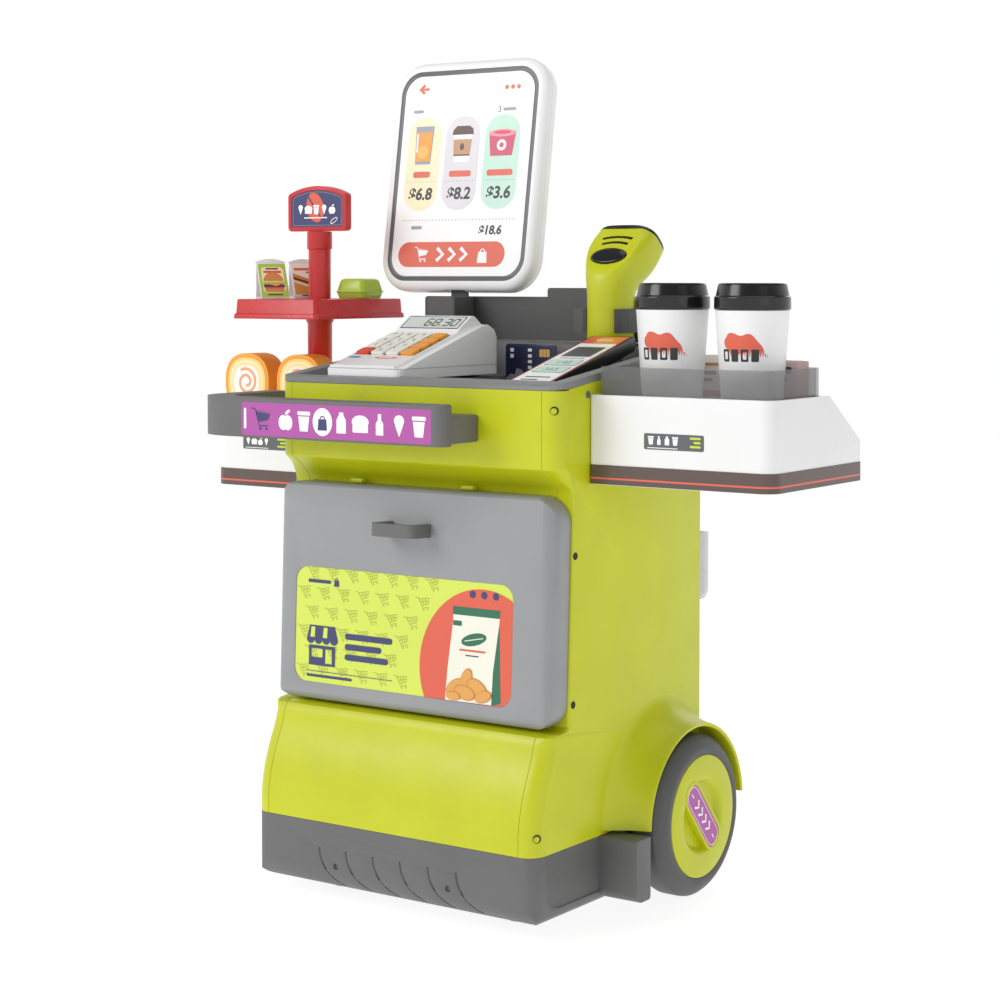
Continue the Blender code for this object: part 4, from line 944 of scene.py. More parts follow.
def rail():
    """The J-shaped rail, with its end block and its label."""
    line = -0.070 + 0.011
    bend = 0.034
    arm = -0.189
    centre = [(0.056, line), (arm + bend, line)]
    centre += arc((arm + bend, line + bend), bend, 270, 180, 20)[1:]
    centre += [(arm, 0.030)]
    outer = []
    inner = []
    for index, point in enumerate(centre):
        before = Vector(centre[max(index - 1, 0)])
        after = Vector(centre[min(index + 1, len(centre) - 1)])
        along = (after - before).normalized()
        side = Vector((-along.y, along.x))
        outer.append(tuple(Vector(point) + side * 0.011))
        inner.append(tuple(Vector(point) - side * 0.011))
    start = [(0.0590, line + 0.0110), (0.0590, line + 0.0035), (0.0668, line + 0.0020)]
    start += arc((0.0590, line - 0.0030), 0.0080, 0, -90, 8)
    left_end = arc((arm, 0.030), 0.011, 180, 0, 14)
    outline = start + outer[1:-1] + left_end + list(reversed(inner[1:-1]))
    mesh = drawn(outline, RAIL_LOW.z, RAIL_HIGH.z)
    mesh = soft(mesh, 0.0020, 3, 30)
    piece("rail_moulding", mesh, DARK, "cabinet", ["front_rail"])
    for index, x in enumerate((-0.056, 0.048)):
        arm_block = soft(block((x - 0.014, line, 0.3805), (x + 0.018, HEAD_FRONT - GAP, 0.4020)), 0.0015, 3)
        piece("rail_bracket_%d" % (index + 1), arm_block, DARK, "cabinet")
    label = Print("rail_label", (0, -0.0700, 0), (1, 0, 0), (0, 0, 1), "cabinet", "dark_grey")
    label.add(INK_PURPLE, rounded((-0.137, 0.3808), (0.0570, 0.4078), 0.0022, 5), 1)
    middle = 0.3943
    label.add(INK_WHITE, rounded((-0.1345, 0.3860), (-0.1320, 0.4030), 0.0012, 3), 2)
    cart_icon(label, INK_NAVY, (-0.1150, middle), 0.0215, 2)
    tall = 0.0185
    icons = (apple_icon, cup_icon, None, carton_icon, loaf_icon, bottle_icon, cone_icon, cup_icon)
    for index, icon in enumerate(icons):
        x = -0.0900 + index * 0.0193
        if icon is None:
            label.add(INK_WHITE, oval((x, middle), 0.0100, 0.0112), 2)
            bag_icon(label, INK_NAVY, (x, middle - 0.0005), 0.0150, 3)
        else:
            icon(label, INK_WHITE, (x, middle), tall, 2)
    label.finish()


# ------------------------------------------------------------------ wheels

def slot_outline(half_long, half_wide):
    """A bar with round ends."""
    return rounded((-half_long, -half_wide), (half_long, half_wide), half_wide - 0.0001, 12)


def wheels():
    """Wheels: ribless tyre with round shoulders, dished hub with a raised grip and its label."""
    low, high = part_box("tyre_right")
    width = high.x - low.x
    axis_y = (low.y + high.y) / 2 - SHIFT
    axis_z = (low.z + high.z) / 2
    radius = (high.z - low.z) / 2
    hub = 0.0505
    tread = [(hub + GAP, width - 0.0006), (hub + 0.0010, width - 0.0002), (radius - 0.0120, width)]
    tread += eased([(radius - 0.0096, width - 0.0004), (radius - 0.0055, width - 0.0030),
                    (radius - 0.0018, width - 0.0068), (radius, width - 0.0110), (radius, 0.0060)], 5)
    tread += [(radius - 0.0010, 0.0030), (radius - 0.0040, 0.0), (hub + GAP, 0.0),
              (hub + GAP, width - 0.0006)]
    dish = [(0.0, 0.0250), (0.0240, 0.0250)]
    dish += eased([(0.0240, 0.0250), (0.0262, 0.0256), (0.0292, width - 0.0020), (0.0312, width - 0.0004),
                   (0.0330, width)], 4)
    dish += [(hub - 0.0012, width), (hub - 0.0003, width - 0.0004), (hub, width - 0.0012), (hub, 0.002),
             (0.030, 0.002), (0.012, 0.006), (0.0, 0.006)]
    bar = drawn(slot_outline(0.0370, 0.0130), 0.0240, width + 0.0003)
    bar = soft(bar, 0.0012, 3)
    recess = drawn(slot_outline(0.0345, 0.0106), width - 0.0003, width + 0.002)
    bar = smooth(cut(bar, recess), 40)
    tyre_mesh = turned(tread, 128)
    hub_mesh = turned(dish, 128)
    for label, sign in (("right", 1), ("left", -1)):
        turn = FACING_SIDE if sign > 0 else FACING_LEFT
        lean = -50 if sign > 0 else 50
        at = place(sign * low.x, axis_y, axis_z) @ turn
        body = "wheel_" + label
        piece("tyre_tread_" + label, moved(tyre_mesh.copy(), at), TYRE, body, ["tyre_" + label])
        piece("hub_dish_" + label, moved(hub_mesh.copy(), at), LIME, body, ["hub_" + label])
        tilt = Matrix.Rotation(math.radians(lean), 4, "Z")
        piece("hub_grip_" + label, moved(bar.copy(), at @ tilt), LIME, body)
        spot = at @ tilt @ place(0, 0, width - 0.0003)
        right = spot.to_3x3() @ Vector((1, 0, 0))
        up = spot.to_3x3() @ Vector((0, 1, 0))
        badge = Print("hub_label_" + label, spot.translation, right, up, body, "lime")
        badge.add(INK_PURPLE, slot_outline(0.0341, 0.0102), 1)
        badge.add(INK_WHITE, slot_outline(0.0325, 0.0086), 2, [slot_outline(0.0320, 0.0081)])
        for x in (-0.0255, 0.0255):
            badge.add(INK_WHITE, rounded((x - 0.0026, -0.0005), (x + 0.0026, 0.0005), 0.0003, 2), 2)
        for index in range(4):
            x = -0.0135 + index * 0.0090
            badge.add(INK_WHITE, stroke([(x - 0.0023, -0.0042), (x + 0.0023, 0.0), (x - 0.0023, 0.0042)],
                                        0.0021), 2)
        badge.finish()


# ------------------------------------------------------------------ shelves

def shelf(name, side, radius, deck_back, label_box):
    """White shelf box with a sloping rear, a sunk deck and a brown band along its foot."""
    low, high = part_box(name)
    front = low.y - SHIFT
    back = high.y - SHIFT
    slope_end = high.z - 0.039 if side > 0 else high.z - 0.034
    x0, x1 = low.x, high.x
    outline = [(front, low.z), (back, low.z), (back, slope_end), (deck_back, high.z), (front, high.z)]
    mesh = moved(drawn(outline, x0, x1), FACING_SIDE)
    corner = 0.003
    radii = (corner, radius, corner, corner) if side > 0 else (radius, corner, corner, corner)
    plan = rounded((x0, front), (x1, back), radii, 12)
    mesh = common(mesh, drawn(plan, low.z - 0.010, high.z + 0.010))
    deck = high.z - 0.003
    inset = [(front + WALL, low.z - 0.005), (back - WALL, low.z - 0.005), (back - WALL, slope_end - 0.003),
             (deck_back - 0.002, deck - WALL), (front + WALL, deck - WALL)]
    hollow = moved(drawn(inset, x0 + WALL, x1 - WALL), FACING_SIDE)
    inner = rounded((x0 + WALL, front + WALL), (x1 - WALL, back - WALL),
                    [max(r - WALL, 0.001) for r in radii], 10)
    hollow = common(hollow, drawn(inner, low.z - 0.010, high.z + 0.010))
    recess = rounded((x0 + 0.004, front + 0.004), (x1 - 0.004, deck_back - 0.004), 0.008, 6)
    mesh = cut(mesh, hollow, drawn(recess, deck, high.z + 0.010))
    mesh = soft(mesh, 0.0009, 3, 30)
    piece(name + "_box", mesh, WHITE, "cabinet", [name])
    tall = 0.0155
    band = 0.00035
    outer = rounded((x0, front - band), (x1 + band, back), [r + band if r > corner else r for r in radii],
                    16) \
        if side > 0 else rounded((x0 - band, front - band), (x1, back + band),
                                 [r + band if r > corner else r for r in radii], 16)
    ring_inner = rounded((x0, front + 0.0002), (x1 - 0.0002, back - 0.0002), radii, 16) if side > 0 else \
        rounded((x0 + 0.0002, front + 0.0002), (x1, back - 0.0002), radii, 16)
    piece(name + "_band", smooth(drawn(outer, low.z + 0.0004, low.z + tall, [ring_inner])), INK_BROWN,
          "cabinet")
    stripe_outer = rounded((x0, front - band * 1.3), (x1 + band * 1.3, back), [r + band if r > corner else r
                                                                              for r in radii], 16) \
        if side > 0 else rounded((x0 - band * 1.3, front - band * 1.3), (x1, back + band * 1.3),
                                 [r + band if r > corner else r for r in radii], 16)
    piece(name + "_stripe", smooth(drawn(stripe_outer, low.z + 0.0043, low.z + 0.0058, [ring_inner])),
          INK_STRIPE, "cabinet")
    (lx0, lz0), (lx1, lz1) = label_box
    label = Print(name + "_label", (0, front, 0), (1, 0, 0), (0, 0, 1), "cabinet", "white")
    label.add(INK_GREY, rounded((lx0, lz0), (lx1, lz1), 0.0014, 4), 1)
    tall = lz1 - lz0
    middle = (lz0 + lz1) / 2
    for index in range(4):
        x = lx0 + 0.0062 + index * 0.0072
        draw = (cup_icon, bottle_icon, carton_icon, cup_icon)[index] if side > 0 else \
            (cone_icon, loaf_icon, apple_icon, cone_icon)[index]
        draw(label, INK_WHITE, (x, middle + 0.0010), tall * 0.60, 2)
    label.add(INK_WHITE, rounded((lx0 + 0.0030, lz0 + 0.0011), (lx0 + 0.0300, lz0 + 0.0017), 0.0002, 2), 2)
    for index, start in enumerate((0.0095, 0.0062, 0.0095)):
        z = lz0 + 0.0026 + index * 0.0032
        label.add(INK_LIME, rounded((lx1 - 0.0028 - start, z), (lx1 - 0.0028, z + 0.0017), 0.0008, 3), 2)
    label.finish()


def guard():
    """Smoky clear fence round the drinks deck."""
    low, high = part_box("guard_right")
    x0, x1 = low.x, high.x
    front = low.y - SHIFT
    back = high.y - SHIFT
    outer = rounded((x0, front), (x1, back), 0.007, 10)
    inner = rounded((x0 + 0.0018, front + 0.0018), (x1 - 0.0018, back - 0.0018), 0.0055, 10)
    mesh = soft(drawn(outer, low.z, high.z, [inner]), 0.0003, 2)
    piece("guard_clear", mesh, SMOKE, "cabinet", ["guard_right"])


# ------------------------------------------------------------------ drinks

def cups():
    """Tapered cups with a rolled rim and a print, and stepped lids."""
    for index in ("1", "2"):
        low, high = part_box("cup_" + index)
        lid_low, lid_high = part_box("cup_lid_" + index)
        x = (low.x + high.x) / 2
        depth = (low.y + high.y) / 2 - SHIFT
        tall = high.z - low.z
        top_radius = (high.x - low.x) / 2
        foot_radius = 0.0233
        at = place(x, depth, low.z)
        cup = [(0.0, 0.0025), (foot_radius - 0.0020, 0.0025), (foot_radius - 0.0010, 0.0040),
               (top_radius - 0.0014, tall), (top_radius, tall), (foot_radius + 0.0005, 0.0012),
               (foot_radius - 0.0002, 0.0), (foot_radius - 0.0022, 0.0), (foot_radius - 0.0024, 0.0012),
               (0.0, 0.0012)]
        piece("cup_wall_" + index, moved(turned(cup, 96), at), WHITE, "cup_" + index, ["cup_" + index])
        cup_print(index, at, foot_radius, top_radius, tall)
        lid_tall = lid_high.z - lid_low.z
        rim = (lid_high.x - lid_low.x) / 2
        lid = [(0.0, lid_tall - 0.0032), (0.0225, lid_tall - 0.0032)]
        lid += eased([(0.0225, lid_tall - 0.0032), (0.0238, lid_tall - 0.0006), (0.0247, lid_tall),
                      (0.0258, lid_tall - 0.0004), (0.0266, lid_tall - 0.0020)], 4)
        lid += [(0.0281, 0.0112), (0.0284, 0.0106)]
        lid += eased([(0.0284, 0.0106), (0.0291, 0.0100), (rim - 0.0001, 0.0088), (rim, 0.0014),
                      (rim - 0.0003, 0.0004), (rim - 0.0008, 0.0)], 3)
        lid += [(rim - 0.0030, 0.0), (rim - 0.0032, 0.0010), (0.0, 0.0010)]
        lid_at = place(x, depth, lid_low.z)
        shape = turned(lid, 96)
        ring = tube([(0.0292 * math.cos(a), 0.0292 * math.sin(a), 0.0024)
                     for a in [2 * math.pi * k / 64 for k in range(64)]], 0.0003, True, 2)
        sip = moved(drawn(rounded((-0.0045, -0.0012), (0.0045, 0.0012), 0.0011, 4), -0.0008, 0.0004),
                    place(0.0, 0.0170, lid_tall - 0.0030))
        shape = cut(shape, sip)
        piece("lid_shell_" + index, moved(smooth(merged(shape, ring), 40), lid_at), BLACK_AND_PAINTED_SHADE, "lid_" + index,
              ["cup_lid_" + index])


def cup_print(index, at, foot_radius, top_radius, tall):
    """A red-orange splash behind four square marks, wrapped round the cup."""
    middle = 0.0365
    grow = 1.35

    def wrapped(point):
        height = middle + (point.y - middle) * grow
        radius = foot_radius + (top_radius - foot_radius) * height / tall + point.z + 0.0001
        angle = math.radians(-83) + point.x * grow / (foot_radius + 0.0032)
        return Vector((radius * math.cos(angle), radius * math.sin(angle), height))

    label = Print("cup_print_" + index, (0, 0, 0), (1, 0, 0), (0, 1, 0), "cup_" + index, "white")
    label.matrix = at
    splash = []
    for step in range(60):
        angle = 2 * math.pi * step / 60
        radius = 0.0096 + 0.0016 * math.sin(3 * angle + 0.6) + 0.0011 * math.sin(5 * angle + 1.9)
        splash.append((0.0020 + 1.05 * radius * math.cos(angle), middle + 1.30 * radius * math.sin(angle)))
    label.add(INK_RED, splash, 1)
    label.add(INK_RED, oval((0.0135, middle - 0.0040), 0.0038, 0.0044, 24), 1)
    label.add(INK_RED, oval((-0.0075, middle + 0.0060), 0.0028, 0.0034, 24), 1)
    for spot, x in enumerate((-0.0090, -0.0030, 0.0030, 0.0090)):
        label.add(INK_BLACK, rounded((x - 0.0022, middle - 0.0045), (x + 0.0022, middle + 0.0025), 0.0006,
                                     2), 3,
                  [rounded((x - 0.0011, middle - 0.0032), (x + 0.0011, middle + 0.0012), 0.0004, 2)]
                  if spot % 2 == 0 else ())
    slices = [(-18 + 1.5 * step) / 1000 for step in range(25)]
    label.finish(wrapped, slices)


def packs():
    """Milk carton with a folded top, and a wrapped snack pack."""
    low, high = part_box("milk_carton")
    x0, x1 = low.x, high.x
    y0, y1 = low.y - SHIFT, high.y - SHIFT
    outline = [(y0, low.z), (y1, low.z), (y1, high.z - 0.006), ((y0 + y1) / 2 + 0.0006, high.z),
               ((y0 + y1) / 2 - 0.0006, high.z), (y0, high.z - 0.006)]
    mesh = soft(moved(drawn(outline, x0, x1), FACING_SIDE), 0.0006, 2)
    piece("milk_carton_board", mesh, plastic("carton_board", (236, 226, 214), 0.5), "milk_carton",
          ["milk_carton"])
    face = Print("milk_carton_print", (0, y0, 0), (1, 0, 0), (0, 0, 1), "milk_carton", "cream")
    face.add(INK_SLEEVE, rounded((x0 + 0.0006, high.z - 0.0085), (x1 - 0.0006, high.z - 0.0062), 0.0003,
                                 2), 1)
    face.add(INK_COFFEE, rounded((x0 + 0.004, high.z - 0.0155), (x1 - 0.010, high.z - 0.0125), 0.0010, 3),
             1)
    face.add(INK_COFFEE, rounded((x0 + 0.004, high.z - 0.0210), (x1 - 0.014, high.z - 0.0185), 0.0010, 3),
             1)
    face.add(INK_PINK, rounded((x0 + 0.0006, low.z + 0.0010), (x1 - 0.0006, low.z + 0.0050), 0.0003, 2), 1)
    face.finish()
    low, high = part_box("snack_pack")
    x0, x1 = low.x, high.x
    y0, y1 = low.y - SHIFT, high.y - SHIFT
    random.seed(11)
    sections = []
    columns = 25
    for step in range(columns):
        t = step / (columns - 1)
        x = x0 + (x1 - x0) * t
        puff = min(1.0, 5.0 * min(t, 1 - t) + 0.25)
        crease = 0.10 * math.sin(13 * t + 1.0) * (1 if step % 2 else -1)
        ring = []
        for corner in rounded((-1, -1), (1, 1), 0.5, 5):
            depth = (y0 + y1) / 2 + corner[0] * (y1 - y0) / 2 * puff * (0.9 + 0.5 * crease)
            height = (low.z + high.z) / 2 + corner[1] * (high.z - low.z) / 2 * (0.97 + 0.03 * puff
                                                                                + 0.12 * min(0, crease))
            ring.append((x, depth, max(height, low.z)))
        sections.append(ring)
    wrap = lofted(sections)
    piece("snack_pack_wrap", smooth(wrap, 25),
          plastic("pink_wrap", (214, 186, 182), 0.18, depth=0.3, mottle=0.10,
                                                       Alpha=0.93), "snack_pack", ["snack_pack"])
    face = Print("snack_pack_print", (0, y0 - 0.0001, 0), (1, 0, 0), (0, 0, 1), "snack_pack", "pink")
    middle = (low.z + high.z) / 2
    face.add(INK_COFFEE, rounded((x0 + 0.012, middle - 0.001), (x1 - 0.016, middle + 0.002), 0.001, 3), 1)
    face.add(INK_NAVY, rounded((x0 + 0.012, middle + 0.005), (x1 - 0.012, middle + 0.010), 0.001, 3), 1)
    face.finish()


# ------------------------------------------------------------------ dessert stand

STAND_X = -0.2165
STAND_Y = 0.126


def stand():
    """Round post with collars, a flared tray and an arched sign."""
    low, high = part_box("stand_post")
    deck = low.z
    r = 0.010
    tray_low, tray_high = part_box("stand_tray")
    top = high.z
    profile = [(0.0, top), (r + 0.0008, top), (r + 0.0014, top - 0.0005), (r + 0.0015, top - 0.0150),
               (r + 0.0012, top - 0.0158), (r + 0.0002, top - 0.0163), (r, tray_high.z),
               (r, tray_low.z + 0.0010),
               (r + 0.0026, tray_low.z + 0.0006), (r + 0.0028, tray_low.z - 0.0020),
               (r + 0.0012, tray_low.z - 0.0050),
               (r + 0.0010, deck + 0.0060), (r + 0.0034, deck + 0.0030), (r + 0.0040, deck + 0.0022),
               (r + 0.0040, deck), (0.0, deck)]
    piece("post_moulding", moved(turned(profile, 64), place(STAND_X, STAND_Y, 0)), RED, "cabinet",
          ["stand_post"])
    x0, y0 = tray_low.x, tray_low.y - SHIFT
    x1, y1 = tray_high.x, tray_high.y - SHIFT
    levels = ((tray_low.z, 0.0003), (tray_low.z + 0.0004, 0.0), (tray_low.z + 0.0040, 0.0003),
              (tray_low.z + 0.0044, 0.0006), (tray_low.z + 0.0045, 0.0012), (tray_low.z + 0.0050, 0.0015),
              (tray_high.z - 0.0010, 0.0022), (tray_high.z - 0.0003, 0.0025), (tray_high.z, 0.0032))
    sections = []
    for height, inset in levels:
        outline = rounded((x0 + inset, y0 + inset), (x1 - inset, y1 - inset), 0.005, 8)
        sections.append([(x, y, height) for x, y in outline])
    mesh = lofted(sections)
    hollow = rounded((x0 + 0.007, y0 + 0.007), (x1 - 0.007, y1 - 0.007), 0.003, 5)
    mesh = cut(mesh, drawn(hollow, tray_low.z - 0.003, tray_high.z - 0.003))
    piece("tray_moulding", smooth(mesh, 35), RED, "cabinet", ["stand_tray"])
    sign_low, sign_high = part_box("stand_sign")
    half = (sign_high.x - sign_low.x) / 2
    low_z = sign_low.z

    def arched(inset, corner):
        shoulder = 0.004
        radius = 0.079 - inset
        centre_z = sign_high.z - 0.079
        x = half - inset - shoulder
        meet = math.acos(x / (radius - shoulder))
        z = centre_z + (radius - shoulder) * math.sin(meet)
        degrees = math.degrees(meet)
        points = arc((half - inset - corner, low_z + inset + corner), corner, -90, 0, 6)
        points += arc((x, z), shoulder, 0, degrees, 6)
        points += arc((0, centre_z), radius, degrees, 180 - degrees, 20)[1:-1]
        points += arc((-x, z), shoulder, 180 - degrees, 180, 6)
        points += arc((-half + inset + corner, low_z + inset + corner), corner, 180, 270, 6)
        return points

    board = soft(drawn(arched(0.0, 0.004), -0.0040, 0.0040), 0.0012, 3)
    panel = drawn(arched(0.0037, 0.0010), 0.0034, 0.0100)
    board = cut(board, panel)
    at = place(STAND_X, STAND_Y, 0) @ FACING_FRONT
    piece("sign_moulding", moved(smooth(board, 35), at), RED, "cabinet", ["stand_sign"])
    label = Print("sign_print", (STAND_X, STAND_Y - 0.0034, 0), (1, 0, 0), (0, 0, 1), "cabinet", "red")
    label.add(INK_NAVY, arched(0.0040, 0.0010), 1)
    label.add(INK_MAP, arched(0.0052, 0.0010), 2, [arched(0.0056, 0.0010)])
    middle = low_z + 0.0205
    label.add(INK_RED, oval((-0.0020, middle + 0.0010), 0.0098, 0.0138, 40, 18), 3)
    label.add(INK_NAVY, stroke([(-0.0120, middle + 0.0130), (0.0060, middle - 0.0100)], 0.0016), 4)
    for index, icon in enumerate((cone_icon, loaf_icon, cup_icon, cone_icon, apple_icon)):
        icon(label, INK_WHITE, (-0.0190 + index * 0.0092, middle - 0.0008), 0.0098, 5)
    label.add(INK_WHITE, rounded((-0.0150, middle - 0.0088), (0.0120, middle - 0.0078), 0.0003, 2), 5)
    label.add(INK_WHITE, oval((0.0200, middle - 0.0110), 0.0048, 0.0020, 24, 32), 5,
              [oval((0.0200, middle - 0.0110), 0.0040, 0.0013, 24, 32)])
    label.finish()


def rolls():
    """Two slices of a rolled cake with a spiral of filling."""
    for index in ("1", "2"):
        low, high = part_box("roll_cake_" + index)
        x = (low.x + high.x) / 2
        z = (low.z + high.z) / 2
        y0, y1 = low.y - SHIFT, high.y - SHIFT
        half = (high.x - low.x) / 2

        def squarish(radius, count=72):
            points = []
            for step in range(count):
                angle = 2 * math.pi * step / count
                c, s = math.cos(angle), math.sin(angle)
                points.append((radius * math.copysign(abs(c) ** 0.82, c),
                               radius * math.copysign(abs(s) ** 0.82, s)))
            return points

        cake = soft(drawn(squarish(half), -(y1 - y0) / 2, (y1 - y0) / 2), 0.0024, 4, 50)
        at = place(x, (y0 + y1) / 2, z) @ FACING_FRONT
        body = "roll_" + index
        piece("roll_sponge_" + index, moved(cake, at), CAKE, body, ["roll_cake_" + index])
        for side, end in (("front", y0), ("back", y1)):
            sign = 1 if side == "front" else -1
            face = Print("roll_face_%s_%s" % (index, side), (x, end, z), (sign, 0, 0), (0, 0, 1), body,
                         "cake")
            tones = ((INK_ORANGE, 0.0238), (INK_PALE_ORANGE, 0.0222), (INK_PALE_YELLOW, 0.0196),
                     (INK_SPONGE, 0.0176), (INK_PALE_YELLOW, 0.0160), (INK_WHITE, 0.0142))
            for layer, (tone, radius) in enumerate(tones):
                face.add(tone, squarish(radius), layer + 1)
            spiral = []
            turns = 1.62
            for step in range(60):
                t = step / 59
                angle = math.radians(-100) + turns * 2 * math.pi * t
                radius = 0.0030 + 0.0095 * t
                spiral.append((radius * math.cos(angle), radius * math.sin(angle)))
            face.add(INK_FILLING, stroke(spiral, 0.0026), 8)
            face.finish()


INK_PALE_ORANGE = ink("sponge_pale", (252, 214, 130), 0.6)
INK_SPONGE = ink("sponge_yellow", (250, 222, 150), 0.6)
INK_FILLING = ink("filling_orange", (240, 168, 120), 0.5)


def cards():
    """Two easel cards: a white leaf with an arched top behind a slanting label."""
    for name, word in (("burger_card", "burger"), ("sandwich_card", "sandwich")):
        low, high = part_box(name)
        centre = Vector(((low.x + high.x) / 2, (low.y + high.y) / 2 - SHIFT, low.z))
        turn = Matrix.Translation(centre) @ Matrix.Rotation(math.radians(CARD_TURN), 4, "Z")
        half = 0.0135
        tall = high.z - low.z
        leaf = [(-half, 0.0), (half, 0.0), (half, tall - 0.0035)]
        leaf += arc((0, tall - 0.0355), 0.0355, 65, 115, 12)
        leaf += [(-half, tall - 0.0035)]
        stand_up = turn @ Matrix.Translation((0, 0.0075, 0)) @ FACING_FRONT
        sheet = soft(drawn(leaf, -0.0006, 0.0006), 0.0003, 2)
        lean = math.radians(24)
        front = turn @ Matrix.Translation((0, -0.0078, 0.0006)) @ Matrix.Rotation(-lean, 4,
                                                                                  "X") @ FACING_FRONT
        size = (tall - 0.0050) / math.cos(lean)
        plate = soft(drawn(rounded((-half, 0.0), (half, size), 0.0008, 3), -0.0006, 0.0006), 0.0003, 2)
        foot = turn @ Matrix.Translation((0, 0, 0.0007))
        tie = soft(block((-half, -0.0078, -0.0006), (half, 0.0078, 0.0006)), 0.0003, 2)
        mesh = merged(moved(sheet, stand_up), moved(plate, front), moved(tie, foot))
        piece(word + "_leaves", mesh, plastic(word + "_clear", (238, 238, 236), 0.25, Alpha=0.95),
              "cabinet",
              [name])
        at = front @ Matrix.Translation((0, 0, 0.0006))
        label = Print(word + "_print", at.translation, at.to_3x3() @ Vector((1, 0, 0)),
                      at.to_3x3() @ Vector((0, 1, 0)), "cabinet", "cream")
        edge = 0.0006
        ground = INK_LEAF if word == "burger" else INK_CREAM
        label.add(ground, rounded((-half + edge, edge), (half - edge, size - edge), 0.0006, 3), 1)
        if word == "burger":
            label.add(INK_PALE_YELLOW,
                      rounded((-half + 0.0030, 0.0050), (half - 0.0030, size - 0.0040), 0.003, 5), 2)
            label.add(INK_BLACK, rounded((-0.0060, size - 0.0062), (0.0060, size - 0.0048), 0.0005, 2), 3)
            label.add(INK_RED, rounded((-0.0085, size - 0.0098), (0.0085, size - 0.0074), 0.0008, 2), 3)
            middle = size * 0.42
            label.add(INK_BUN, arc((0, middle + 0.0008), 0.0098, 8, 172, 16), 3)
            label.add(INK_LEAF, rounded((-0.0104, middle - 0.0008), (0.0104, middle + 0.0014), 0.0009, 3),
                      4)
            label.add(INK_ORANGE,
                      [(-0.0085, middle - 0.0002), (0.0085, middle - 0.0002), (0.0020, middle - 0.0032)], 5)
            label.add(INK_COFFEE,
                      rounded((-0.0100, middle - 0.0042), (0.0100, middle - 0.0012), 0.0012, 3), 4)
            label.add(INK_PINK, rounded((-0.0092, middle - 0.0052), (0.0092, middle - 0.0040), 0.0005, 3),
                      5)
            label.add(INK_BUN, rounded((-0.0092, middle - 0.0086), (0.0092, middle - 0.0050), 0.0016, 4), 4)
            label.add(INK_BLACK, rounded((-0.0070, 0.0024), (0.0070, 0.0034), 0.0004, 2), 3)
        else:
            label.add(INK_RED, rounded((-0.0105, size - 0.0070), (0.0060, size - 0.0046), 0.0008, 2), 2)
            label.add(INK_NAVY, rounded((0.0010, size - 0.0096), (0.0090, size - 0.0082), 0.0005, 2), 2)
            label.add(INK_CHIP, [(-0.0120, 0.0030), (0.0120, 0.0030), (0.0120, 0.0110),
                                 (-0.0120, 0.0235)], 2)
            label.add(INK_COFFEE,
                      [(-0.0120, 0.0180), (0.0120, 0.0095), (0.0120, 0.0120), (-0.0120, 0.0205)], 3)
            label.add(INK_PALE_YELLOW,
                      [(-0.0120, 0.0150), (0.0120, 0.0070), (0.0120, 0.0092), (-0.0120, 0.0175)], 3)
            label.add(INK_BUN, [(-0.0120, 0.0205), (0.0120, 0.0120), (0.0120, 0.0145), (-0.0120, 0.0240)],
                      3)
            label.add(INK_BLACK, rounded((-0.0060, 0.0014), (0.0060, 0.0024), 0.0004, 2), 3)
        label.finish()


CARD_TURN = 60


def burger_box():
    """Clear lime clamshell: two tapered halves that meet in a flange."""
    low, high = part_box("burger_box")
    x = (low.x + high.x) / 2
    y = (low.y + high.y) / 2 - SHIFT
    half = (high.x - low.x) / 2
    levels = ((0.0, 0.0030), (0.0006, 0.0024), (0.0056, 0.0010), (0.0058, 0.0), (0.0064, 0.0),
              (0.0067, 0.0012), (0.0070, 0.0012), (0.0150, 0.0030), (0.0170, 0.0040), (0.0180, 0.0062))
    sections = []
    for height, inset in levels:
        outline = rounded((-half + inset, -half + inset), (half - inset, half - inset), 0.0050, 8)
        sections.append([(px, py, height) for px, py in outline])
    piece("burger_box_shell", moved(smooth(lofted(sections), 30), place(x, y, low.z)), LIME_CLEAR,
          "burger_box",
          ["burger_box"])


# ------------------------------------------------------------------ console

def detail(name, material, bevel=0.0, angle=30):
    """A CAD node that stays: better material, and small round edges by a modifier."""
    obj = frame["nodes"][name]
    obj.data.materials.clear()
    obj.data.materials.append(material)
    if bevel:
        weld = obj.modifiers.new("weld", "WELD")
        weld.merge_threshold = 0.00002
        modifier = obj.modifiers.new("edges", "BEVEL")
        modifier.width = bevel
        modifier.segments = 3
        modifier.limit_method = "ANGLE"
        modifier.angle_limit = math.radians(angle)
        modifier.harden_normals = False


# ------------------------------------------------------------------ card terminal

POS_X = (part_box("pos_upper_case")[0].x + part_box("pos_upper_case")[1].x) / 2
KEY_SLOPE = math.atan2(0.030, 0.099)
KEY_MIDDLE = Vector((POS_X, 0.0485, 0.4530))


KEY_PITCH_ACROSS = 0.0155
KEY_PITCH_UP = 0.0137
KEY_GROUND = -0.0006


def key_point(across, up_slope, proud):
    return KEY_MIDDLE + Matrix.Rotation(KEY_SLOPE, 3, "X") @ Vector((across, up_slope, proud))


def face_height(y):
    return KEY_MIDDLE.z + (y - KEY_MIDDLE.y) * math.tan(KEY_SLOPE)


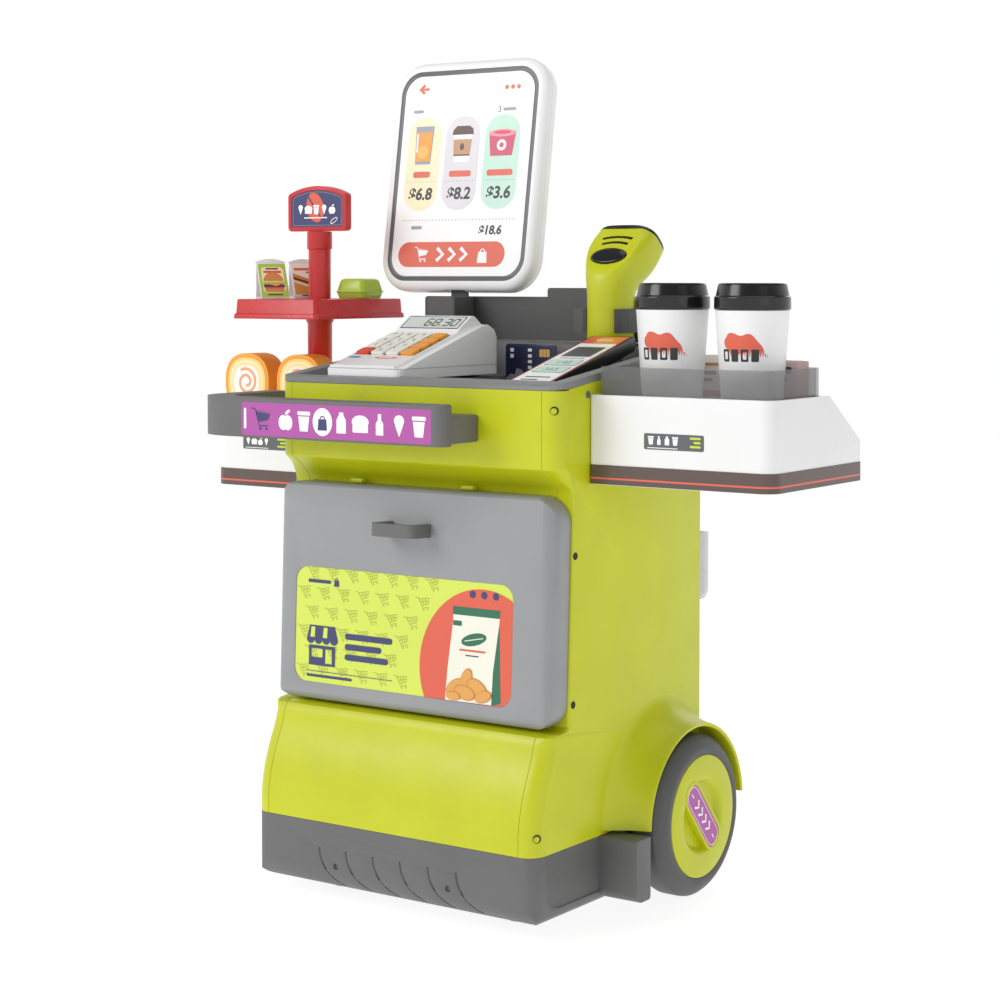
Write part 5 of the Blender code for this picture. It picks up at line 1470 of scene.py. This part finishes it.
def terminal():
    """Card terminal: upper case with chamfered shoulders and a display block, keys, pad and prints."""
    low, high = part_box("pos_upper_case")
    half = (high.x - low.x) / 2
    front = low.y - SHIFT
    back = high.y - SHIFT
    split = low.z
    outline = [(front, split), (back, split), (back, 0.4530), (0.1270, 0.4648), (0.1180, 0.4690),
               (0.0900, face_height(0.0900)), (front + 0.003, face_height(front + 0.003)),
               (front, split + 0.0025)]
    body = moved(drawn(outline, -half, half), FACING_SIDE)
    plan = rounded((-half, front), (half, back), 0.006, 8)
    body = common(body, drawn(plan, split - 0.01, 0.500))
    shoulders = []
    for sign in (1, -1):
        sections = []
        for y in (front - 0.002, back + 0.002):
            top = face_height(y)
            sections.append([(sign * (half - 0.0055), y, top + 0.050),
                             (sign * (half - 0.0055), y, top + 0.0003),
                             (sign * (half - 0.0040), y, top - 0.0022),
                             (sign * (half + 0.0010), y, top - 0.0040),
                             (sign * (half + 0.0020), y, top + 0.050)])
        shoulders.append(lofted(sections))
    body = cut(body, *shoulders)
    lcd_back = [(0.0790, face_height(0.0790) - 0.002), (0.0840, face_height(0.0840) + 0.0016),
                (0.1015, 0.4762), (0.1060, 0.4765), (0.1180, 0.4685), (0.1180, 0.4600), (0.0790, 0.4600)]
    display = moved(drawn(lcd_back, -0.0330, 0.0330), FACING_SIDE)
    display = soft(display, 0.0012, 3, 20)
    pocket = drawn(rounded((-0.0318, -0.0275), (0.0318, 0.0275), 0.002, 4), KEY_GROUND, 0.0050)
    pocket = moved(pocket,
                   Matrix.Translation(KEY_MIDDLE - Vector((POS_X, 0, 0)))
                   @ Matrix.Rotation(KEY_SLOPE, 4, "X"))
    body = cut(body, pocket)
    inside = [(front + 0.0065, split - 0.005), (back - WALL, split - 0.005), (back - WALL, 0.4505),
              (0.1050, 0.4600), (0.0830, face_height(0.0830) - 0.004),
              (front + 0.0065, face_height(front) - 0.003)]
    body = cut(body, moved(drawn(inside, -half + 0.008, half - 0.008), FACING_SIDE))
    body = soft(body, 0.0010, 3, 25)
    at = place(POS_X, 0, 0)
    piece("terminal_case", moved(body, at), WHITE, "card_terminal", ["pos_upper_case"])
    piece("terminal_display_block", moved(display, at), WHITE, "card_terminal")
    detail("pos_lower_case", WHITE, bevel=0.0006)
    slope = Matrix.Rotation(KEY_SLOPE, 3, "X")
    up = slope @ Vector((0, 1, 0))
    ground = Print("key_ground", key_point(0, 0, KEY_GROUND), (1, 0, 0), up, "card_terminal", "black")
    ground.add(INK_BLACK, rounded((-0.0314, -0.0271), (0.0314, 0.0271), 0.0018, 4), 1)
    ground.finish()
    faces = Print("terminal_print", key_point(0, 0, 0), (1, 0, 0), up, "card_terminal", "white")
    faces.add(INK_TEAL, oval((-0.0250, -0.0345), 0.0068, 0.0026, 30), 1)
    faces.add(INK_RED, oval((0.0080, -0.0345), 0.0120, 0.0026, 30), 1)
    faces.add(INK_WHITE, rounded((0.0010, -0.0351), (0.0150, -0.0339), 0.0005, 2), 2)
    faces.finish()
    screen_lean = math.atan2(0.4762 - (face_height(0.0840) + 0.0016), 0.1015 - 0.0840)
    screen_up = Vector((0, math.cos(screen_lean), math.sin(screen_lean)))
    middle = Vector((POS_X, (0.0840 + 0.1015) / 2, (0.4762 + face_height(0.0840) + 0.0016) / 2))
    screen = Print("terminal_screen", middle, (1, 0, 0), screen_up, "card_terminal", "white")
    screen.add(INK_BLACK, rounded((-0.0308, -0.0094), (0.0308, 0.0094), 0.0012, 4), 1)
    screen.add(INK_LCD, rounded((-0.0298, -0.0083), (0.0298, 0.0083), 0.0008, 4), 2)
    seven_segment(screen, "68.30", (0.0080, 0.0), 0.0100)
    screen.finish()
    figures = (("", "0", "."), ("1", "2", "3"), ("4", "5", "6"), ("7", "8", "9"))
    for row in range(4):
        for column in range(4):
            name = "key_%d_%d" % (row + 1, column + 1)
            across = (column - 1.5) * KEY_PITCH_ACROSS
            up_slope = (row - 1.5) * KEY_PITCH_UP
            material = ORANGE_KEY if column == 3 else RED_KEY if (row, column) == (0, 0) else WHITE_KEY
            cap = soft(drawn(rounded((-0.0067, -0.0059), (0.0067, 0.0059), 0.0018, 4), -0.0005, 0.0020),
                       0.0008, 3)
            stem = block((-0.0040, -0.0035, -0.0045), (0.0040, 0.0035, 0.0))
            turn = Matrix.Translation(key_point(across, up_slope, 0)) @ Matrix.Rotation(KEY_SLOPE, 4, "X")
            piece(name + "_cap", moved(smooth(merged(cap, stem), 40), turn), material, name, [name])
            if column < 3 and figures[row][column]:
                mark = Print(name + "_mark", key_point(across, up_slope, 0.0020), (1, 0, 0), up, name)
                mark.digits(INK_GREY, figures[row][column], (0, 0), 0.0050)
                mark.finish()


def seven_segment(label, text, centre, tall):
    """Figures of a liquid crystal display."""
    wide = tall * 0.55
    line = tall * 0.13
    lit = {"0": "abcdef", "3": "abcdg", "6": "acdefg", "8": "abcdefg"}
    slant = 0.10
    x = centre[0] - (len(text) - 1) * wide * 0.7
    half = tall / 2
    for letter in text:
        if letter == ".":
            label.add(INK_BLACK, rounded((x - line, centre[1] - half), (x, centre[1] - half + line), 0.0,
                                         1), 3)
            x += line * 2.2
            continue
        ends = {"a": ((0, half), (wide, half)), "g": ((0, 0), (wide, 0)), "d": ((0, -half), (wide, -half)),
                "f": ((0, 0), (0, half)), "b": ((wide, 0), (wide, half)), "e": ((0, -half), (0, 0)),
                "c": ((wide, -half), (wide, 0))}
        for segment in lit[letter]:
            (ax, ay), (bx, by) = ends[segment]
            short = 0.08
            ax, bx = ax + (bx - ax) * short, bx - (bx - ax) * short
            ay, by = ay + (by - ay) * short, by - (by - ay) * short
            label.add(INK_BLACK, stroke([(x + ax + slant * ay, centre[1] + ay),
                                         (x + bx + slant * by, centre[1] + by)],
                                        line), 3)
        x += wide * 1.5


# ------------------------------------------------------------------ loose items on the console

def pad():
    """Black handheld with a printed face."""
    slope = math.atan2(0.0362, 0.135)
    length = 0.138
    outline = rounded((0.0, -0.012), (length, 0.0), (0.003, 0.006, 0.002, 0.0015), 6)
    turn = Matrix.Rotation(slope, 4, "X") @ FACING_SIDE
    at = place(0.0940, 0.0010, 0.4251)
    shape = soft(drawn(outline, -0.0205, 0.0205), 0.0022, 4)
    piece("pad_body", moved(shape, at @ turn), BLACK_AND_PAINTED_SHADE, "payment_pad", ["payment_pad"])
    matrix = at @ Matrix.Rotation(slope, 4, "X")
    up = Vector((0, math.cos(slope), math.sin(slope)))
    face = Print("pad_print", matrix.translation, (1, 0, 0), up, "payment_pad", "black")
    face.add(INK_RED, rounded((-0.0190, 0.0030), (0.0190, length - 0.0030), 0.0030, 6), 1)
    face.add(INK_WHITE, rounded((-0.0178, 0.0042), (0.0178, length - 0.0240), 0.0012, 4), 2)
    face.add(INK_RED, rounded((-0.0178, length - 0.0235), (0.0178, length - 0.0042), 0.0012, 4), 2)
    face.add(INK_ORANGE, rounded((-0.0060, length - 0.0225), (0.0170, length - 0.0052), 0.0012, 4), 3)
    face.add(INK_CREAM, rounded((-0.0080, length - 0.0150), (0.0080, length - 0.0125), 0.0010, 3), 4)
    y = length - 0.0500
    face.add(INK_GREY, rounded((-0.0140, y - 0.0110), (0.0140, y + 0.0160), 0.0008, 3), 3)
    for index in range(11):
        x = -0.0122 + index * 0.0024
        face.add(INK_BLACK, rounded((x, y - 0.0095), (x + 0.0006 + 0.0004 * (index % 3), y + 0.0145), 0.0,
                                    1), 4)
    face.add(INK_BLACK, rounded((-0.0120, y - 0.0160), (0.0120, y - 0.0150), 0.0003, 2), 3)
    for row in range(2):
        low = 0.0340 + row * 0.0190
        face.add(INK_BLACK, rounded((-0.0152, low - 0.0006), (0.0152, low + 0.0146), 0.0022, 4), 3)
        face.add(INK_MINT, rounded((-0.0146, low), (0.0146, low + 0.0140), 0.0018, 4), 4)
        face.digits(INK_GREY, ("365", "142")[row], (0.0, low + 0.0070), 0.0072, 5)
    face.add(INK_BLACK, rounded((-0.0120, 0.0200), (0.0120, 0.0222), 0.0008, 3), 3)
    face.add(INK_BLACK, rounded((-0.0120, 0.0130), (0.0040, 0.0152), 0.0008, 3), 3)
    face.finish()


def bank_card():
    low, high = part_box("bank_card")
    half = (high.x - low.x) / 2
    y = (low.y + high.y) / 2 - SHIFT
    thick = (high.y - low.y) / 2
    shape = soft(drawn(rounded((-half, low.z), (half, high.z), 0.003, 8), -thick, thick), 0.0002, 2)
    piece("card_body", moved(shape, place(0, y, 0) @ FACING_FRONT), INK_CARD, "bank_card", ["bank_card"])
    top = high.z
    face = Print("card_print", (0, y - thick, 0), (1, 0, 0), (0, 0, 1), "bank_card", "navy")
    land = [(-0.0262, top - 0.0300), (-0.0210, top - 0.0260), (-0.0170, top - 0.0268),
            (-0.0150, top - 0.0210),
            (-0.0095, top - 0.0225), (-0.0060, top - 0.0285), (-0.0010, top - 0.0300),
            (0.0030, top - 0.0262),
            (0.0100, top - 0.0280), (0.0262, top - 0.0360), (0.0262, top - 0.0600), (-0.0262, top - 0.0600)]
    face.add(INK_MAP, land, 1)
    face.add(INK_GOLD, rounded((0.0090, top - 0.0110), (0.0195, top - 0.0045), 0.0009, 3), 1)
    for x in (0.0125, 0.0160):
        face.add(INK_CARD, rounded((x, top - 0.0108), (x + 0.0003, top - 0.0047), 0.0, 1), 2)
    for index in range(2):
        face.add(INK_WHITE, rounded((-0.0215, top - 0.0070 - index * 0.0052),
                                    (-0.0180, top - 0.0038 - index * 0.0052),
                                    0.0003, 2), 1)
    for index in range(4):
        face.add(INK_WHITE, rounded((-0.0030, top - 0.0066 - index * 0.0050),
                                    (0.0010, top - 0.0040 - index * 0.0050),
                                    0.0003, 2), 1)
    face.finish()


# ------------------------------------------------------------------ scanner

SCANNER_X = 0.076
SCANNER_FACE = Vector((SCANNER_X, 0.1546, 0.5275))
FACE_SLOPE = math.radians(46.5)
NOSE = Vector((SCANNER_X, 0.1900, 0.5390))
NOSE_HALF = 0.0290
NOSE_LEAN = math.radians(42)


def superellipse(half_x, half_d, power, count=96):
    points = []
    for index in range(count):
        angle = 2 * math.pi * index / count
        c, s = math.cos(angle), math.sin(angle)
        points.append((half_x * math.copysign(abs(c) ** (2 / power), c),
                       half_d * math.copysign(abs(s) ** (2 / power), s)))
    return points


def scanner():
    """Hand scanner: round grip widening into a head with a flat face, slots lined with painted shade, a
    button and a dark nose.
    """
    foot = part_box("scanner_front")[0].z
    r = 0.020
    axis = 0.158
    keys = [(axis, foot, r - 0.0020, r - 0.0020, 0, 2), (axis, foot + 0.0006, r - 0.0006, r - 0.0006, 0, 2),
            (axis, foot + 0.002, r, r, 0, 2), (axis, 0.4700, r, r, 0, 2), (axis, 0.4880, r, r, 0, 2),
            (0.1590, 0.4980, 0.0205, 0.0210, 6, 2.1), (0.1620, 0.5070, 0.0225, 0.0230, 14, 2.3),
            (0.1675, 0.5160, 0.0258, 0.0240, 25, 2.5), (0.1740, 0.5240, 0.0284, 0.0230, 33, 2.8),
            (0.1820, 0.5320, 0.0295, 0.0210, 39, 3.0), (NOSE.y, NOSE.z, NOSE_HALF, 0.0200, 42, 3.0)]
    values = eased([Vector(k) for k in keys[3:]], 5)
    values = [tuple(k) for k in keys[:3]] + values
    sections = []
    for y, z, half_x, half_d, lean, power in values:
        turn = math.radians(lean)
        sections.append([(SCANNER_X + a, y + b * math.cos(turn), z - b * math.sin(turn))
                         for a, b in superellipse(half_x, half_d, power)])
    head = lofted(sections)
    slope = Matrix.Rotation(FACE_SLOPE, 4, "X")
    flat = Matrix.Translation(SCANNER_FACE) @ slope
    size = 0.060
    ahead = block((-size, -size, 0.0), (size, size, size))
    seat = [(x * 1.04, y * 1.06) for x, y in oval((0, 0), 0.0170, 0.0088, 48)]
    tools = [moved(ahead.copy(), flat), moved(drawn(seat, -0.0052, 0.0100), flat)]
    slot_shade_fills = []
    for offset, half in ((0.0142, 0.0130), (0.0205, 0.0150)):
        curve = [(half * t / 8, offset + 0.0022 * (1 - (t / 8) ** 2)) for t in range(-8, 9)]
        tools.append(moved(drawn(stroke(curve, 0.0030), -0.0030, 0.0100), flat))
        # A black strip at the floor of each slot: painted shade darkening the groove.
        slot_shade_fills.append(drawn(stroke(curve, 0.0029), -0.0029, -0.0006))
    head = cut(head, *tools)
    piece("scanner_housing", soft(head, 0.0007, 3, 38), LIME, "scanner", ["scanner_front"])
    piece("scanner_slot_shade", moved(merged(*slot_shade_fills), flat), BLACK_AND_PAINTED_SHADE, "scanner")
    cover = []
    along = Vector((0, math.sin(NOSE_LEAN), math.cos(NOSE_LEAN)))
    for height, shrink in ((GAP, 0.0), (0.0025, 0.0002), (0.0038, 0.0010), (0.0045, 0.0024)):
        middle = NOSE + along * height
        cover.append([(SCANNER_X + a, middle.y + b * math.cos(NOSE_LEAN),
                       middle.z - b * math.sin(NOSE_LEAN))
                      for a, b in superellipse(NOSE_HALF - shrink, 0.0200 - shrink, 3.0)])
    nose = cut(lofted(cover), moved(ahead.copy(), flat))
    piece("scanner_nose", soft(nose, 0.0004, 2, 38), BLACK_AND_PAINTED_SHADE, "scanner", ["scanner_rear"])
    button = []
    for height, share in ((-0.0035, 0.99), (0.0006, 0.99), (0.0013, 0.95), (0.0017, 0.86), (0.0018, 0.60)):
        button.append([(x, y, height) for x, y in oval((0, 0), 0.0170 * share, 0.0088 * share, 48)])
    shape = smooth(lofted(button), 50)
    piece("scanner_trigger_cap", moved(shape, flat), BLACK_AND_PAINTED_SHADE, "scanner_trigger", ["scanner_button"])


# ------------------------------------------------------------------ monitor

TILT = math.radians(8.5)
MONITOR_LOW = -0.0125
MONITOR_HIGH = MONITOR_LOW + 0.210
MONITOR_HALF = (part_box("monitor_front")[1].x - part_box("monitor_front")[0].x) / 2


def monitor():
    """Tilting screen: soft white shell, dark inlaid ring and a printed display."""
    low = MONITOR_LOW
    high = MONITOR_HIGH
    half = MONITOR_HALF
    ahead = 0.011
    thick = 0.020
    joints = {joint["name"]: joint for joint in frame["joints"]}
    pivot = Vector(joints["monitor_tilt"]["pos_m"])
    at = place(pivot.x, pivot.y - SHIFT, pivot.z) @ Matrix.Rotation(-TILT, 4, "X") @ FACING_FRONT

    def inset(amount, radius):
        return rounded((-half + amount, low + amount), (half - amount, high - amount), radius, 16)

    seam = 0.009
    front_levels = ((ahead - seam, 0.0), (ahead - 0.0065, 0.0), (ahead - 0.0040, 0.0006),
                    (ahead - 0.0020, 0.0019),
                    (ahead - 0.0007, 0.0040), (ahead, 0.0066))
    sections = []
    for height, amount in front_levels:
        sections.append([(x, y, height) for x, y in inset(amount, 0.030 - amount)])
    shell = lofted(sections)
    ring = drawn(inset(0.0086, 0.0216), ahead - 0.0012, ahead + 0.001, [inset(0.0130, 0.0180)])
    window = drawn(inset(0.0130, 0.0180), ahead - 0.0005, ahead + 0.001)
    cavity = drawn(inset(WALL, 0.0275), ahead - seam - 0.005, ahead - WALL - 0.001)
    notch = block((-0.0115, low - 0.005, -0.020), (0.0115, 0.0085, ahead - WALL - 0.001))
    shell = cut(shell, ring, window, cavity, notch)
    piece("monitor_bezel", moved(smooth(shell, 30), at), WHITE, "monitor", ["monitor_front"])
    inlay = drawn(inset(0.0087, 0.0215), ahead - 0.0012, ahead - 0.0002, [inset(0.0129, 0.0181)])
    piece("monitor_ring", moved(soft(inlay, 0.0002, 2), at), INK_GREY, "monitor")
    back_levels = ((ahead - seam - GAP, 0.0), (-0.0040, 0.0), (-0.0065, 0.0008), (-0.0082, 0.0026),
                   (ahead - thick, 0.0060))
    sections = []
    for height, amount in back_levels:
        sections.append([(x, y, height) for x, y in inset(amount, 0.030 - amount)])
    back = lofted(sections)
    back = cut(back, drawn(inset(WALL, 0.0275), ahead - thick + WALL, ahead - seam + 0.005), notch.copy())
    vents = []
    for index in range(7):
        y = 0.120 + index * 0.0062
        vents.append(drawn(rounded((-0.030, y), (0.030, y + 0.0022), 0.0010, 4), ahead - thick - 0.002,
                           ahead - thick + 0.0010))
    for x in (-0.060, 0.060):
        for y in (0.030, 0.165):
            vents.append(drawn(oval((x, y), 0.0032, 0.0032, 24), ahead - thick - 0.002,
                               ahead - thick + 0.0014))
    back = cut(back, *vents)
    piece("monitor_cover", moved(smooth(back, 30), at), WHITE, "monitor", ["monitor_back"])
    display(at @ Matrix.Translation((0, 0, ahead - 0.0005)))


def display(at):
    """The printed display: three pastel columns with goods and prices, and a red-orange bar."""
    screen = Print("monitor_display", at.translation, at.to_3x3() @ Vector((1, 0, 0)),
                   at.to_3x3() @ Vector((0, 1, 0)), "monitor", "white")
    margin = 0.0132
    ground = rounded((-MONITOR_HALF + margin, MONITOR_LOW + margin),
                     (MONITOR_HALF - margin, MONITOR_HIGH - margin),
                     0.0178, 16)
    screen.add(INK_WHITE, ground, 1)
    top = MONITOR_HIGH
    arrow = [(-0.0570, -0.0250), (-0.0510, -0.0200), (-0.0490, -0.0222), (-0.0515, -0.0238),
             (-0.0450, -0.0238),
             (-0.0450, -0.0262), (-0.0515, -0.0262), (-0.0490, -0.0278), (-0.0510, -0.0300)]
    screen.add(INK_RED, shifted(arrow, 0.0, top), 2)
    for index in range(3):
        screen.add(INK_RED, oval((0.0413 + index * 0.0064, top - 0.0270), 0.0021, 0.0021, 20), 2)
    screen.add(INK_MAP, rounded((-0.0605, top - 0.0470), (-0.0495, top - 0.0442), 0.0008, 3), 2)
    screen.digits(INK_GREY, "3", (0.0355, top - 0.0470), 0.0060, 2)
    screen.add(INK_MAP, rounded((0.0395, top - 0.0484), (0.0530, top - 0.0456), 0.0008, 3), 2)
    columns = ((-0.0455, INK_PALE_YELLOW, "6.8", 0.0095, juice),
               (-0.0025, INK_PALE_GREY, "8.2", 0.0120, coffee),
               (0.0410, INK_MINT, "3.6", 0.0140, dessert))
    for x, tone, price, word, picture in columns:
        screen.add(tone, rounded((x - 0.0188, top - 0.1370), (x + 0.0188, top - 0.0516), 0.0175, 12), 2)
        screen.add(INK_RED, rounded((x - word, top - 0.1068), (x + word, top - 0.1012), 0.0020, 4), 3)
        for dot in range(11):
            screen.add(INK_GREY, oval((x - 0.0150 + dot * 0.0030, top - 0.1107), 0.0004, 0.0004, 8), 3)
        screen.digits(INK_BLACK, "$" + price, (x, top - 0.1224), 0.0108, 3, 0.0005, 0.12)
        picture(screen, (x, top - 0.0770))
    for dot in range(34):
        screen.add(INK_GREY, oval((-0.0620 + dot * 0.0037, top - 0.1460), 0.0005, 0.0005, 8), 2)
    screen.add(INK_MAP, rounded((-0.0520, top - 0.1542), (-0.0400, top - 0.1512), 0.0008, 3), 2)
    screen.digits(INK_BLACK, "$18.6", (0.0356, top - 0.1560), 0.0080, 2, 0.0004, 0.12)
    centre = -0.0050
    middle = top - 0.1773
    screen.add(INK_RED, rounded((centre - 0.0590, middle - 0.0114), (centre + 0.0590, middle + 0.0114),
                                0.0113, 12), 2)
    cart_icon(screen, INK_WHITE, (centre - 0.0320, middle), 0.0165, 3, 0.0, False)
    for index in range(3):
        x = centre - 0.0120 + index * 0.0130
        screen.add(INK_WHITE,
                   stroke([(x - 0.0034, middle - 0.0058), (x + 0.0034, middle),
                           (x - 0.0034, middle + 0.0058)],
                                     0.0034), 3)
    bag_icon(screen, INK_WHITE, (centre + 0.0350, middle - 0.0010), 0.0165, 3)
    screen.finish()


def fitted(points, centre, wide, tall):
    """Points of a unit drawing, -0.5 to 0.5, at a size."""
    return [(centre[0] + x * wide, centre[1] + y * tall) for x, y in points]


def juice(screen, centre):
    """A glass of orange juice."""
    size = (0.0207, 0.0350)
    glass = [(-0.41, -0.50), (0.41, -0.50), (0.50, 0.50), (-0.50, 0.50)]
    filled = [(-0.37, -0.42), (0.37, -0.42), (0.44, 0.34), (-0.44, 0.34)]
    screen.add(INK_MAP, fitted(glass, centre, *size), 3)
    screen.add(INK_ORANGE, fitted(filled, centre, *size), 4)
    screen.add(INK_GOLD_LIGHT, fitted(oval((-0.03, -0.18), 0.30, 0.18, 24), centre, *size), 5)
    screen.add(INK_WHITE,
               fitted([(-0.39, -0.18), (-0.31, -0.18), (-0.33, 0.30), (-0.41, 0.30)], centre, *size), 6)


def coffee(screen, centre):
    """A paper cup with a lid and a sleeve."""
    size = (0.0235, 0.0330)
    screen.add(INK_WHITE,
               fitted([(-0.34, -0.50), (0.34, -0.50), (0.44, 0.28), (-0.44, 0.28)], centre, *size), 3)
    screen.add(INK_COFFEE, fitted([(-0.50, 0.26), (0.50, 0.26), (0.46, 0.42), (0.28, 0.50), (-0.30, 0.50),
                                   (-0.46, 0.40)], centre, *size), 4)
    screen.add(INK_SLEEVE,
               fitted([(-0.38, -0.30), (0.38, -0.30), (0.43, 0.13), (-0.43, 0.13)], centre, *size), 4)
    screen.add(INK_COFFEE,
               fitted([(-0.37, -0.33), (0.37, -0.33), (0.38, -0.29), (-0.38, -0.29)], centre, *size), 5)
    screen.add(INK_COFFEE, fitted(oval((0.0, -0.08), 0.10, 0.10, 20, -25), centre, *size), 5)


def dessert(screen, centre):
    """A tub of dessert."""
    size = (0.0300, 0.0240)
    screen.add(INK_PINK, fitted([(-0.39, -0.50), (0.39, -0.50), (0.48, 0.34), (-0.48, 0.34)], centre,
                                *size), 3)
    screen.add(INK_ROSE, fitted(oval((0.0, 0.36), 0.50, 0.14, 36), centre, *size), 4)
    screen.add(INK_PINK, fitted(oval((0.0, 0.38), 0.31, 0.07, 30), centre, *size), 5)
    screen.add(INK_WHITE, fitted(oval((0.0, -0.10), 0.17, 0.21, 30), centre, *size), 5)
    screen.add(INK_PINK, fitted(oval((0.0, -0.10), 0.08, 0.10, 20), centre, *size), 6)


INK_GOLD_LIGHT = ink("print_gold_light", (250, 186, 90))
INK_ROSE = ink("print_rose", (240, 150, 164))


# ------------------------------------------------------------------ stage

def studio_world():
    """A bright white surround at eye level under a dim ceiling."""
    world = bpy.data.worlds.new("studio")
    world.use_nodes = True
    nodes = world.node_tree.nodes
    links = world.node_tree.links
    where = nodes.new("ShaderNodeTexCoord").outputs["Generated"]
    parts = nodes.new("ShaderNodeSeparateXYZ")
    links.new(where, parts.inputs["Vector"])
    fade = nodes.new("ShaderNodeMapRange")
    fade.interpolation_type = "SMOOTHSTEP"
    fade.inputs["From Min"].default_value = 0.30
    fade.inputs["From Max"].default_value = 0.55
    fade.inputs["To Min"].default_value = 1.02
    fade.inputs["To Max"].default_value = 0.22
    links.new(parts.outputs["Z"], fade.inputs["Value"])
    nodes["Background"].inputs["Color"].default_value = (1.0, 1.0, 1.0, 1.0)
    links.new(fade.outputs["Result"], nodes["Background"].inputs["Strength"])
    bpy.context.scene.world = world


def stage():
    """Pale floor, soft lights and the camera."""
    floor_mesh = drawn(rounded((-6, -6), (6, 6), 0.5, 8), -0.010, 0.0)
    floor_material = plastic("studio_floor", (130, 130, 130), 0.80, grain=80.0, depth=0.01, mottle=0.002,
                             Emission_Color=(1.0, 1.0, 1.0, 1.0), Emission_Strength=0.88)
    floor_mesh.materials.append(floor_material)
    floor = bpy.data.objects.new("floor", floor_mesh)
    bpy.context.scene.collection.objects.link(floor)
    studio_world()

    def lamp(name, location, size, power, target=(0, 0, 0.3)):
        light = bpy.data.lights.new(name, "AREA")
        light.shape = "RECTANGLE"
        light.size = size[0]
        light.size_y = size[1]
        light.energy = power
        obj = bpy.data.objects.new(name, light)
        obj.location = location
        direction = Vector(target) - Vector(location)
        obj.rotation_euler = direction.to_track_quat("-Z", "Y").to_euler()
        bpy.context.scene.collection.objects.link(obj)

    lamp("key", (-1.3, -2.1, 1.9), (1.4, 1.4), 34)
    lamp("fill", (2.2, -0.9, 1.2), (1.2, 1.6), 2)
    lamp("top", (0.2, 0.4, 2.6), (2.0, 2.0), 12)
    lamp("rear", (-0.6, 2.4, 1.6), (1.6, 1.2), 8)

    camera_data = bpy.data.cameras.new("camera")
    camera_data.lens = 79.9
    camera_data.sensor_width = 36
    camera_data.shift_x = -0.0026
    camera_data.shift_y = -0.130
    camera_data.clip_start = 0.05
    camera_data.clip_end = 50
    camera = bpy.data.objects.new("camera", camera_data)
    camera.location = (1.0797, -1.4346 + SHIFT, 0.5106)
    camera.rotation_euler = (math.radians(90 - 2.423), 0, math.radians(35.007))
    bpy.context.scene.collection.objects.link(camera)
    bpy.context.scene.camera = camera
    bpy.context.scene.view_settings.view_transform = "Standard"


def main():
    stage()
    front_moulding()
    side_mouldings()
    base_moulding()
    feet()
    door()
    door_label()
    rail()
    wheels()
    shelf("wing_right", 1, 0.012, 0.116, ((0.191, 0.3775), (0.244, 0.3900)))
    shelf("wing_left", -1, 0.012, 0.151, ((-0.269, 0.3540), (-0.216, 0.3662)))
    guard()
    cups()
    packs()
    stand()
    rolls()
    cards()
    burger_box()
    detail("back_panel", LIME, bevel=0.0005)
    detail("console_tray", RIM_GREY, bevel=0.0010)
    detail("rear_upstand", UPSTAND, bevel=0.0010)
    detail("rear_pocket", FROST, bevel=0.0006)
    detail("rear_axle", STEEL)
    terminal()
    pad()
    bank_card()
    scanner()
    monitor()


main()
